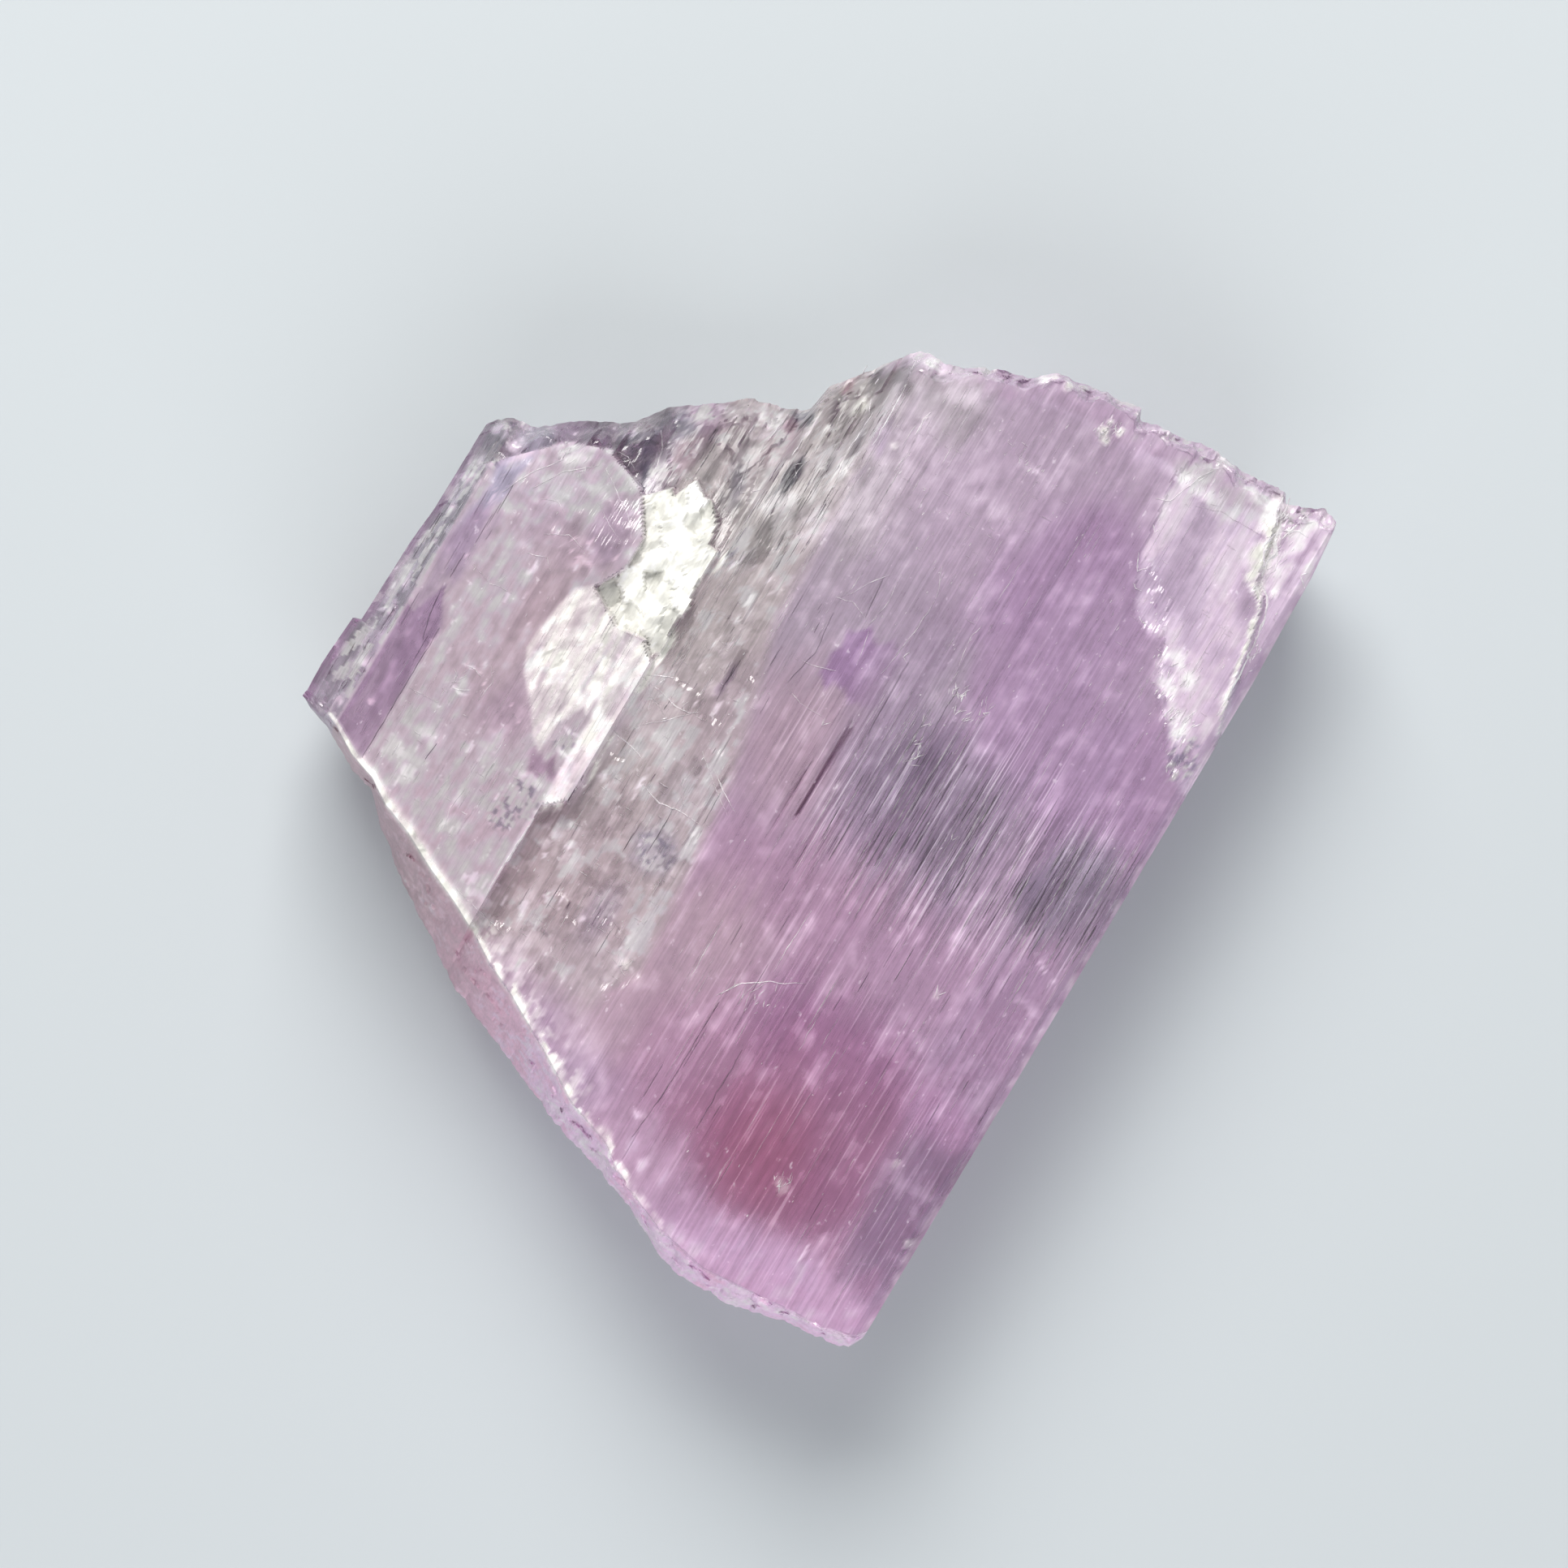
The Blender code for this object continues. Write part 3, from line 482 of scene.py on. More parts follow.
# Whitish veils, and painted glints on the left bevel and on the layer's lower part, in the same form but with
# a whitening strength
VEILS_AND_GLINTS = [
    (-1.6, 29.0, 3.0, 7.0, 0, 0.6, 0.4), (-4.2, 18.6, 1.4, 2.4, 0, 0.6, 0.6),
    (-1.0, 21.6, 3.6, 2.0, 0, 0.7, 0.5), (0.4, 34.6, 2.6, 1.2, 0, 0.6, 0.6),
    (-3.0, 35.4, 2.0, 0.7, 0, 0.5, 0.9), (8.0, 27.4, 2.6, 1.0, 0, 0.8, 0.4),
    (9.0, 31.8, 1.2, 0.4, 0, 0.6, 0.8), (4.0, 28.0, 4.0, 3.0, 0, 0.8, 0.3),
    (17.0, 37.6, 3.0, 1.8, -20, 0.7, 0.2), (21.8, 37.7, 1.9, 0.8, 0, 0.5, 1.0),
    (26.4, 36.8, 2.4, 0.5, 0, 0.6, 0.4), (19.6, 35.6, 1.0, 1.0, 0, 0.6, 0.6),
    (28.4, 23.6, 2.2, 2.0, -40, 0.35, 1.0), (30.4, 20.0, 1.8, 0.9, -40, 0.4, 1.0),
    (24.8, 26.0, 1.6, 0.8, 0, 0.6, 0.5), (27.0, 39.6, 1.8, 0.7, 0, 0.6, 0.7),
    (32.2, 37.4, 1.8, 4.2, 0, 0.4, 1.0), (32.8, 22.0, 0.5, 3.4, 0, 0.5, 0.6),
    # Painted glints along the left bevel, near x -31
    (-31.0, 11.9, 0.9, 0.8, 0, 0.4, 0.95), (-31.0, 7.0, 0.9, 0.8, 0, 0.4, 1.0),
    (-31.0, 9.2, 0.4, 0.6, 0, 0.4, 0.5), (-28.9, 11.4, 0.6, 0.9, 0, 0.4, 0.9),
    (-31.1, 4.0, 0.5, 0.7, 0, 0.5, 0.8), (-31.4, -3.0, 0.5, 0.4, 0, 0.5, 0.7),
    (-31.4, -6.0, 0.7, 0.25, 0, 0.4, 0.9), (-30.8, -10.6, 0.5, 0.5, 0, 0.5, 0.9),
    (-31.0, -14.5, 0.5, 0.4, 0, 0.5, 0.9), (-22.6, -6.6, 0.9, 0.2, 0, 0.5, 0.8),
    (-22.4, 3.6, 0.3, 0.6, 0, 0.5, 0.8), (-24.2, 4.6, 0.5, 0.4, 0, 0.6, 0.6),
    # The spots at x -18.0 and -16.6 are painted glints on the layer
    (-22.6, -8.6, 0.7, 0.2, 0, 0.5, 0.8), (-18.0, -17.6, 0.35, 1.8, 0, 0.5, 0.75),
    (-16.6, -18.0, 0.4, 1.2, 0, 0.6, 0.5), (-12.9, -6.9, 0.8, 0.2, 0, 0.3, 1.0),
    (-12.4, -8.6, 0.8, 0.3, 0, 0.3, 0.9), (-13.6, -12.0, 1.2, 0.5, 0, 0.5, 0.7),
    (-9.8, -14.6, 0.9, 0.6, 0, 0.4, 0.7), (-11.1, -9.0, 0.8, 3.6, 0, 0.5, 1.0),
    (-6.8, -3.6, 2.4, 2.0, 0, 0.6, 0.35), (-8.6, -8.6, 0.35, 0.6, 0, 0.4, 0.9),
    (-7.4, -16.4, 0.8, 1.4, 0, 0.6, 0.4), (-10.0, -16.0, 0.5, 0.5, 0, 0.4, 0.7),
    (-12.4, -22.6, 1.2, 0.5, 0, 0.5, 0.8), (-7.0, -24.6, 2.0, 2.4, -30, 0.7, 0.5),
    (1.0, -28.6, 2.4, 1.6, -30, 0.6, 0.4), (14.8, 11.4, 2.0, 1.0, 0, 0.8, 0.25),
    (31.4, -3.6, 1.8, 0.2, -28, 0.6, 0.7), (32.0, -7.0, 1.4, 0.3, -12, 0.7, 0.4),
    (10.8, -34.6, 0.5, 1.4, 0, 0.5, 0.7), (26.3, -34.2, 0.14, 1.0, 0, 0.5, 1.0),
    (10.0, -37.0, 3.0, 0.8, -28, 0.6, 0.5), (8.4, -31.4, 0.7, 0.4, 0, 0.6, 0.6),
    (16.4, -38.8, 3.4, 0.8, 0, 0.7, 0.4), (29.6, -23.2, 0.3, 2.4, 0, 0.7, 0.2),
    (-20.5, 11.4, 2.2, 0.35, -28, 0.6, 0.5), (-24.0, 13.2, 1.6, 0.6, 20, 0.6, 0.7),
    (-26.6, 10.8, 0.6, 1.0, 0, 0.6, 0.6), (-18.9, 5.8, 0.8, 0.6, 0, 0.6, 0.6),
    (-24.0, 8.6, 1.2, 0.6, 20, 0.7, 0.6), (-22.8, -13.2, 1.0, 0.8, 0, 0.8, 0.5),
]
# Small dark and bright reflections of cleavage squares: x, y, half width, half length
SQUARE_PATCHES = [
    (-13.4, -13.2, 1.6, 1.0), (-14.2, -16.0, 1.2, 1.0), (-12.9, -7.7, 0.9, 1.0), (-13.6, -14.6, 1.5, 0.7),
    (-1.8, -12.0, 1.9, 1.6), (32.4, 17.4, 1.3, 2.0), (-30.2, 9.8, 0.8, 1.2), (-9.2, 12.6, 0.8, 1.0),
]

# Thin strips on the face: how far they rise and how deep they reach below it, and the length of a piece
CRACK_RISE = 0.05
CRACK_DEPTH = 0.12
CRACK_STEP = 0.35
# Least and greatest half widths of the strips
HAIRLINE_HALF = (0.02, 0.045)
DARK_HAIRLINE_HALF = (0.02, 0.05)
SPECK_HALF = (0.04, 0.10)
BLOCK_EDGE_HALF = (0.02, 0.05)
SCUFF_HALF = (0.04, 0.11)
# How far the lines wander sideways
CRACK_WANDER = 0.12
SCRATCH_WANDER = 0.08
STRAIGHT_WANDER = 0.02
# How much wider than listed the white cracks are
CRACK_WIDENING = 1.15
# How the strips bend and swell, and how narrow they begin
STRIP_BEND = 0.9
STRIP_SWELL = (0.6, 0.7)
STRIP_TIP = 0.25
STRIP_START = 0.08
STRIP_CREST = 0.3
# How far inside the outline of the face the strips stay
STRIP_MARGIN = 0.5
BLOCK_EDGE_MARGIN = 0.6

# White hairlines and cracks of the surface: half width, then x and y of each point
CRACK_LINES = [
    (0.16, (28.3, 40.6), (28.5, 39.2), (29.4, 37.8), (29.0, 36.3), (29.9, 34.7), (30.5, 33.4),
     (31.5, 32.8), (32.1, 31.4), (32.5, 29.5), (32.6, 27.5), (32.8, 26.0), (32.9, 22.0)),
    (0.30, (29.4, 38.6), (29.6, 37.2), (30.2, 36.2), (29.8, 35.0), (30.3, 33.8)),
    (0.12, (29.8, 38.2), (31.0, 38.9), (31.9, 38.8)), (0.14, (30.1, 37.6), (30.6, 39.6), (31.0, 39.2)),
    (0.08, (28.9, 41.0), (29.2, 39.0), (30.2, 37.0)), (0.10, (33.4, 36.4), (33.0, 35.8), (33.8, 35.0)),
    (0.08, (14.8, -14.9), (12.2, -16.3), (10.2, -17.6), (8.9, -19.6)), (0.06, (12.7, -16.0), (13.0, -16.8)),
    (0.05, (12.2, -16.2), (11.2, -17.9), (11.6, -19.6)), (0.05, (10.6, -17.4), (10.9, -19.4)),
    (0.06, (9.5, -17.2), (9.8, -18.3)), (0.05, (9.9, -17.8), (9.1, -19.4)),
    (0.05, (11.3, -16.6), (10.8, -18.6)), (0.07, (6.1, -13.9), (6.2, -16.0), (6.3, -20.0)),
    (0.07, (12.1, -9.4), (12.0, -12.0), (12.0, -15.4)), (0.05, (16.8, -30.6), (16.9, -34.0)),
    (0.05, (18.6, -16.0), (18.7, -19.4)), (0.05, (17.1, -16.4), (17.2, -20.0)),
    (0.07, (-10.4, 0.2), (-8.0, -0.1), (-6.5, -0.5), (-5.2, -0.4), (-4.4, 0.1)),
    (0.05, (-9.6, -0.4), (-7.0, -1.6)), (0.06, (-10.2, 0.3), (-8.2, 1.4), (-6.4, 1.7)),
    (0.05, (-5.0, -0.4), (-6.6, -2.0), (-8.4, -3.6)), (0.10, (-10.0, -5.0), (-8.0, -5.3), (-6.6, -5.7)),
    (0.09, (-5.5, -7.6), (-3.5, -8.2), (-2.0, -7.9), (0.2, -8.0)),
    (0.07, (-1.0, -3.4), (1.2, -5.0), (2.5, -5.6)), (0.05, (-2.6, -2.6), (0.6, -5.2), (2.0, -6.2)),
    (0.05, (1.0, 5.5), (2.4, 5.1), (4.6, 5.0)), (0.05, (0.5, 8.2), (1.4, 8.3), (3.6, 8.9)),
    (0.08, (20.1, 33.0), (20.6, 32.5), (20.9, 33.0)), (0.08, (21.2, 28.0), (21.6, 27.7), (22.2, 27.8)),
    (0.10, (22.7, 26.2), (23.5, 25.5), (24.8, 25.5)),
    (0.08, (19.2, 35.0), (20.4, 35.5), (21.4, 38.4), (22.2, 39.6)),
    (0.08, (20.2, 30.4), (21.0, 29.0), (21.6, 29.6)), (0.03, (22.4, 36.2), (24.4, 36.9), (28.2, 36.9)),
    (0.05, (12.3, 24.9), (12.2, 20.0)), (0.06, (12.2, 18.4), (11.8, 17.4), (12.2, 14.6)),
    (0.10, (-3.6, 32.4), (-3.5, 30.0), (-3.4, 26.6)), (0.12, (-0.6, 31.6), (-0.9, 30.8), (-0.8, 29.2)),
    (0.08, (-1.2, 30.0), (-1.3, 28.0)), (0.09, (-0.7, 27.2), (-0.8, 25.8)),
    (0.06, (2.3, 30.0), (2.4, 28.2)), (0.07, (-4.8, 29.8), (-5.0, 25.0), (-4.6, 22.4)),
    (0.05, (-6.6, 20.0), (-6.7, 16.0)), (0.06, (-8.8, 27.0), (-8.8, 22.0), (-8.4, 19.4)),
    (0.06, (-7.5, 24.6), (-7.8, 21.0), (-7.2, 18.6)), (0.06, (-7.4, 32.6), (-7.2, 28.6), (-6.8, 25.6)),
    (0.06, (-5.9, 33.0), (-6.0, 31.0), (-5.0, 28.8)), (0.05, (-11.0, 25.6), (-11.4, 21.6), (-10.2, 19.0)),
    (0.05, (-12.6, 19.8), (-11.0, 17.6), (-9.6, 18.8)), (0.05, (-13.6, 20.4), (-13.0, 17.8), (-12.0, 16.0)),
    (0.05, (-9.9, 17.4), (-9.0, 15.4), (-9.2, 13.0)), (0.07, (-19.4, 18.8), (-18.6, 17.6), (-17.8, 15.0)),
    (0.06, (-22.6, 15.2), (-20.6, 15.4), (-19.2, 14.6)), (0.07, (-28.0, 7.4), (-26.8, 10.0), (-25.0, 12.4)),
    (0.06, (-26.0, 9.0), (-24.4, 11.6), (-22.2, 13.4)),
    (0.07, (-21.6, 13.6), (-19.8, 12.4), (-17.8, 11.0), (-16.7, 9.6)),
    (0.05, (-20.8, 10.8), (-18.8, 9.6), (-17.4, 9.0)), (0.05, (-23.2, 6.2), (-21.4, 7.2), (-19.6, 6.8)),
    (0.06, (-23.6, 4.2), (-22.0, 4.6), (-21.2, 3.8)), (0.07, (-23.2, -6.6), (-22.4, -6.4), (-21.6, -6.7)),
    (0.07, (-23.2, -8.8), (-22.4, -8.5), (-21.8, -8.1)),
    (0.05, (-21.4, -5.4), (-20.6, -6.6), (-20.8, -8.6)), (0.04, (-27.0, 1.0), (-25.0, 0.4), (-23.0, 0.6)),
    (0.05, (-24.9, 8.6), (-23.6, 9.2), (-22.6, 8.4)),
    (0.05, (-18.0, -15.4), (-18.2, -17.6), (-17.8, -19.2)), (0.04, (-16.4, -15.0), (-16.6, -18.0)),
    (0.04, (-19.6, -14.6), (-19.8, -17.4)), (0.04, (-26.5, -10.6), (-23.6, -10.4)),
    (0.12, (-11.8, -14.6), (-11.9, -17.0), (-12.0, -19.6), (-11.9, -22.6)),
    (0.05, (4.2, 18.6), (4.4, 16.0), (3.9, 13.0)), (0.06, (6.7, 21.0), (7.3, 19.6), (7.7, 18.4)),
    (0.04, (20.4, 17.0), (20.4, 12.0)), (0.05, (1.4, 17.2), (1.0, 14.6)),
    (0.06, (0.4, 14.2), (1.8, 14.6), (3.6, 13.9)), (0.05, (-0.3, -21.3), (0.9, -21.9), (1.5, -22.1)),
    (0.05, (21.1, 8.0), (21.0, -3.6)), (0.05, (22.1, 6.2), (22.2, -4.0)), (0.05, (29.0, 4.6), (29.0, -1.6)),
    (0.05, (30.3, 6.2), (30.4, -2.4)), (0.05, (24.9, 6.0), (24.9, -1.0)), (0.05, (26.4, 3.0), (26.4, -1.6)),
    (0.05, (-5.6, 24.4), (-6.2, 23.2), (-5.2, 22.6), (-5.4, 21.6)),
    (0.05, (-7.4, 23.0), (-8.2, 22.0), (-7.2, 20.6)), (0.05, (3.5, 18.4), (2.2, 16.6), (1.2, 14.8)),
    (0.06, (4.2, 13.2), (4.6, 11.6), (4.8, 10.2)), (0.05, (7.4, 13.4), (7.0, 10.6)),
    (0.07, (8.1, 13.4), (7.9, 12.8), (8.4, 12.4)), (0.06, (7.7, 18.2), (7.6, 15.0), (7.2, 12.6)),
    (0.04, (16.8, 3.0), (16.8, -5.0)), (0.04, (18.7, 6.0), (18.7, 1.0)),
    (0.05, (-14.4, -23.0), (-12.6, -23.4), (-9.0, -24.4)),
]
# Dark slits, strips of painted shade, in the same form
DARK_LINES = [
    (0.05, (5.75, 1.5), (5.7, -2.0), (5.62, -6.2)),
    (0.06, (9.35, -20.0), (9.4, -26.0), (9.2, -30.4), (8.9, -33.4)),
    (0.05, (13.1, -22.4), (13.1, -26.6), (13.2, -30.0)), (0.05, (13.7, -0.4), (13.6, -4.0), (13.7, -6.8)),
    (0.05, (16.9, 0.8), (16.8, -1.2)), (0.05, (21.3, 0.4), (21.3, -2.8)),
    (0.05, (19.2, -4.6), (19.2, -6.2)), (0.05, (12.0, 10.2), (12.0, 6.2), (11.9, 3.6)),
    (0.05, (13.1, 13.0), (13.1, 7.0)), (0.04, (8.4, 12.6), (8.6, 5.6)), (0.05, (28.0, 4.0), (28.1, -1.2)),
    (0.05, (20.4, -2.0), (20.4, -6.0)), (0.05, (-2.2, -8.0), (-2.2, -12.4)),
    (0.05, (-4.0, -10.4), (-4.0, -13.0)), (0.06, (-3.9, 5.0), (-3.8, 1.6)),
    (0.06, (-10.0, -9.4), (-10.1, -12.6)), (0.07, (-22.0, -13.4), (-22.1, -15.0)),
    (0.08, (-28.3, -2.0), (-28.0, -4.4), (-27.4, -6.6)),
    (0.07, (-26.7, -5.0), (-26.7, -10.0), (-26.7, -17.6)), (0.05, (0.9, 13.0), (1.3, 9.4), (0.6, 6.0)),
    (0.05, (3.0, 17.6), (3.4, 14.0)), (0.06, (-7.9, 24.4), (-8.1, 20.6), (-7.9, 18.0)),
    (0.06, (-11.8, 20.6), (-11.4, 18.8), (-11.0, 17.4)), (0.06, (-6.6, 22.6), (-6.3, 20.0)),
    (0.05, (0.5, -4.8), (0.6, -7.8)),
]
# Pale hairlines, dark hairlines of painted shade, and specks along the crystal: the ranges of x and y, how
# many, shortest and longest
HAIRLINES = [
    (8.0, 34.0, -7.0, 9.0, 150, 2.0, 8.0), (3.0, 33.6, -36.0, -6.0, 60, 1.5, 6.0),
    (6.0, 33.0, 9.0, 38.0, 50, 1.0, 5.0), (-9.5, 0.0, -24.0, 14.0, 60, 0.8, 3.5),
    (-28.0, -12.5, -20.0, 2.0, 40, 0.6, 2.5), (-19.0, -10.5, -8.0, 4.0, 40, 1.0, 4.0),
    (-9.6, -3.0, 13.0, 32.0, 130, 0.8, 4.5), (-17.0, -9.0, 15.0, 25.0, 50, 0.8, 3.0),
    (-10.2, -7.6, 2.0, 14.0, 50, 0.8, 4.0), (12.0, 34.0, -3.0, 7.5, 80, 1.0, 5.0),
    (-4.0, 3.0, 18.0, 36.0, 40, 0.8, 4.0), (-31.6, -30.2, -15.0, 12.0, 40, 0.5, 2.0),
]
DARK_HAIRLINES = [
    (9.5, 33.8, -4.0, 7.5, 110, 1.0, 5.0), (6.0, 33.6, -34.0, -4.0, 30, 1.0, 4.0),
    (-9.6, 1.0, -22.0, 14.0, 30, 0.5, 2.5), (-9.6, -3.6, 14.0, 30.0, 70, 0.6, 3.0),
    (13.0, 33.8, -3.0, 7.0, 60, 0.8, 4.0), (-17.0, -9.6, 15.0, 25.0, 24, 0.6, 2.4),
    (-33.4, -27.0, -15.0, 10.0, 30, 0.6, 3.0),
]
SPECKS = [
    (4.0, 33.0, -36.0, 39.0, 150, 0.08, 0.3), (-4.0, 33.0, 15.0, 39.0, 70, 0.1, 0.45),
    (-29.0, -10.0, -18.0, 14.0, 60, 0.1, 0.4), (-10.0, 1.0, -24.0, 14.0, 60, 0.1, 0.4),
    (21.0, 33.0, 17.0, 39.0, 60, 0.1, 0.5),
]
# Edges of small cleavage blocks, in the same form
BLOCK_EDGES = [
    (-10.0, 0.8, -24.0, 0.0, 130, 0.4, 1.8), (-9.6, 1.0, 2.0, 13.0, 40, 0.4, 1.6),
    (-26.0, -12.6, -20.0, -8.0, 50, 0.4, 1.4), (21.0, 33.0, 17.0, 36.0, 60, 0.4, 1.6),
    (-4.0, 13.0, 18.0, 35.0, 110, 0.3, 1.5),
]
# Scuffs: middle x and y, half width, half length, how many scratches
SCUFFS = [
    (13.4, 12.4, 0.8, 0.9, 16), (15.9, 12.2, 0.5, 0.9, 12), (14.6, 11.0, 1.8, 0.4, 12),
    (12.7, 6.0, 0.5, 1.2, 14), (12.3, 8.0, 0.4, 2.0, 8), (21.7, -30.4, 0.7, 0.8, 16),
    (8.9, 31.8, 1.2, 0.4, 8), (-23.0, -8.2, 0.8, 0.9, 8), (22.0, 37.6, 2.0, 0.9, 22),
    (28.4, 22.6, 2.0, 2.0, 40), (30.4, 20.0, 1.4, 0.9, 24), (30.2, 36.0, 1.0, 2.4, 30),
    (24.8, -10.2, 0.3, 0.3, 5), (11.6, -18.2, 1.6, 1.4, 12), (-7.6, -0.6, 2.0, 2.4, 14),
    (5.0, 4.4, 0.2, 0.4, 4), (12.7, 37.6, 0.6, 1.0, 18), (13.7, 38.4, 0.7, 0.5, 10),
    (6.2, 39.2, 0.7, 0.5, 10), (29.2, 38.0, 0.6, 1.4, 18), (32.7, 28.0, 0.2, 1.4, 10),
    (33.3, 27.0, 0.3, 1.6, 10), (0.9, -21.4, 0.5, 0.6, 8), (19.2, 1.0, 0.2, 2.0, 4),
    (-24.0, 12.6, 1.8, 1.2, 10), (31.8, 16.8, 1.0, 1.4, 14),
]

# Glass of the crystal, in metres where it is a size
IOR = 1.66
ABSORPTION = (0.86, 0.72, 0.86, 1.0)
ABSORPTION_DENSITY = 20.0
BUMP_STRENGTH = 0.35
BUMP_HEIGHT = 0.0002
GLASS_ROUGHNESS = (0.07, 0.18)
FROST_ROUGHNESS = 0.24
EDGE_ROUGHNESS = (0.15, 0.4)
EDGE_CLARITY = 0.3
SLIT_ROUGHNESS = (0.25, 0.5)
# Share of light that the glass lets through, and what each mask takes from it or adds to it
CLARITY = 0.66
MILK_LOSS = 0.38
CLEAR_GAIN = 0.14
BRIGHT_LOSS = 0.4
WHITE_LOSS = 0.92
# How strongly the tone is shaded, partly as painted light and shade: by growth lines, everywhere and more
# where they are clear, by mottling, by pale hairs that are partly painted glints, and by specks that are
# painted glints
GROWTH_SHADE = (0.05, 0.28)
MOTTLE_SHADE = 0.10
HAIR_STRENGTH = 0.55
SPECK_GLINT_STRENGTH = 0.5
# Noise of the materials: repeats per metre across, along and up
HAIR_NOISE = (4600.0, 100.0, 1300.0)
MOTTLE_NOISE = (1600.0, 1000.0, 1600.0)
EDGE_NOISE = (2600.0, 900.0, 2600.0)

# The photograph's frame: its width at the crystal's face, the point of the face in its middle, and the
# turn of the crystal's length from the picture's upright
FRAME_WIDTH = 0.1314
FRAME_MIDDLE = (0.0047, -0.0015)
LENGTH_TURN = 30.8
LENS = 180.0
SENSOR = 36.0
FACE_Z = 0.017
NEAREST = 0.01

# Studio: place, size, power and colour of each light, and the floor
KEY_LIGHT = ((-0.30, 0.42, 0.50), 0.45, 6.5, (1.0, 0.98, 0.95))
FILL_LIGHT = ((0.26, -0.42, 0.30), 0.60, 2.3, (0.99, 0.985, 0.99))
LIGHT_TARGET = (0.0, 0.0, 0.01)
SKY = (0.90, 0.91, 0.93, 1.0)
SKY_STRENGTH = 0.38
FLOOR_HALF = 1.5
FLOOR_Z = -0.0002
FLOOR_COLOUR = (0.50, 0.54, 0.565, 1.0)
FLOOR_ROUGHNESS = 0.8


# Shape of the crystal

def along(points, t):
    """Value at t of a broken line, given as (t, value) pairs in rising t."""
    if t <= points[0][0]:
        return points[0][1]
    for (t0, v0), (t1, v1) in zip(points, points[1:]):
        if t <= t1:
            return v0 + (v1 - v0) * (t - t0) / (t1 - t0)
    return points[-1][1]


def ramp(low, high, t):
    """0 below low, 1 above high and a smooth rise between them."""
    s = min(max((t - low) / (high - low), 0.0), 1.0)
    return s * s * (3.0 - 2.0 * s)


def mix(a, b, share):
    """A value between a and b."""
    return a + (b - a) * share


def rough(x, y, z, size, salt=0.0):
    """Smooth noise between -1 and 1 with lumps of about the given size. The salt picks the pattern."""
    return noise.noise(Vector((x / size + salt, y / size - salt, z / size + 2.0 * salt)))


def lumps(x, y, relief, salt):
    """Rounded lumps, as a height."""
    rise, size = relief
    return rise * rough(x, y, 0.0, size, salt)


def streaks(x, y, relief, salt):
    """Lumps that are drawn out, as a height."""
    rise, across, length = relief
    return rise * noise.noise(Vector((x / across, y / length, salt)))


def hash_step(i, j):
    """A fixed pseudo-random value between 0 and 1 for a block of the cleavage pattern."""
    value = math.sin(i * HASH_I + j * HASH_J + SEED) * HASH_SPREAD
    return value - math.floor(value)


def facets(u, v, relief, salt):
    """Height of a crumbled surface: small flat facets, each tilted its own way."""
    rise, size_u, size_v = relief
    u, v = u / size_u, v / size_v
    near = None
    for i in range(math.floor(u) - 1, math.floor(u) + 2):
        for j in range(math.floor(v) - 1, math.floor(v) + 2):
            du = u - i - hash_step(i, j + salt)
            dv = v - j - hash_step(j - salt, i)
            distance = du * du + dv * dv
            if near is None or distance < near[0]:
                near = (distance, du, dv, i, j)
    _, du, dv, i, j = near
    tilt_u, tilt_v = hash_step(i + salt, 3 * j) - 0.5, hash_step(5 * i, j - salt) - 0.5
    level = hash_step(7 * i + 1, 2 * j + salt) - 0.5
    return rise * (FACET_TILT * (tilt_u * du + tilt_v * dv) + FACET_LEVEL * level)


def crossings(polygon, x):
    """The y of every place where a closed outline crosses a column."""
    found = []
    for (x0, y0), (x1, y1) in zip(polygon, polygon[1:] + polygon[:1]):
        if (x0 > x) != (x1 > x):
            found.append(y0 + (x - x0) * (y1 - y0) / (x1 - x0))
    return found


def inside(polygon, x, y):
    """1 inside a closed outline, else 0."""
    return float(sum(place > y for place in crossings(polygon, x)) % 2)


def with_ledges(x, rows):
    """Moves the two rows nearest to each ledge right beside it, so that the ledge stays crisp."""
    rows = list(rows)
    taken = {0, len(rows) - 1}
    for place in sorted(crossings(LAYER, x) + crossings(FLAKES, x)):
        for j in range(1, len(rows) - 2):
            if rows[j] <= place < rows[j + 1] and not {j, j + 1} & taken:
                rows[j], rows[j + 1] = place - LEDGE_HALF, place + LEDGE_HALF
                taken |= {j, j + 1}
                break
    return rows


def make_steps():
    """Growth steps of the broad right face: the x where each begins, and its height."""
    draw = random.Random(SEED)
    steps = []
    x = FIRST_STEP_X
    while x < RIGHT_BEVEL_X - STEP_WIDTHS[0]:
        steps.append((x, draw.uniform(-1.0, 1.0) * STEP_RISE))
        x += draw.uniform(*STEP_WIDTHS)
    return steps


def growth_step(x):
    """Height of the growth step that x lies on, eased in over a short way."""
    height = 0.0
    for start, level in STEPS:
        height = mix(height, level, ramp(start - STEP_GAP, start, x))
    return height


def hollow(x, y):
    """How far the splintered hollow has opened at a point, from 0 to 1."""
    across = ramp(HOLLOW_X[0], HOLLOW_X[1], x) * (1.0 - ramp(HOLLOW_X[2], HOLLOW_X[3], x))
    below_end = along(UPPER_END, x) - y
    lengthwise = 1.0 - ramp(0.0, HOLLOW_LENGTH, below_end)
    return across * lengthwise


def zone(x, y):
    """Share of the lower, colourless zone at a point."""
    border = along(FACE_BORDER, y)
    return (1.0 - ramp(border + ZONE_EDGE[0], border + ZONE_EDGE[1], x)) * ramp(*ZONE_FADE_Y, y)


def blocks(x, y):
    """Small rectangular cleavage blocks, as heights between -0.5 and 0.5."""
    i = math.floor(x / BLOCK_SIZE[0] + BLOCK_WANDER * rough(x, y, 0.0, FACE_WAVE[1]))
    j = math.floor(y / BLOCK_SIZE[1] + BLOCK_STAGGER * (i % 2))
    return hash_step(i, j) - 0.5


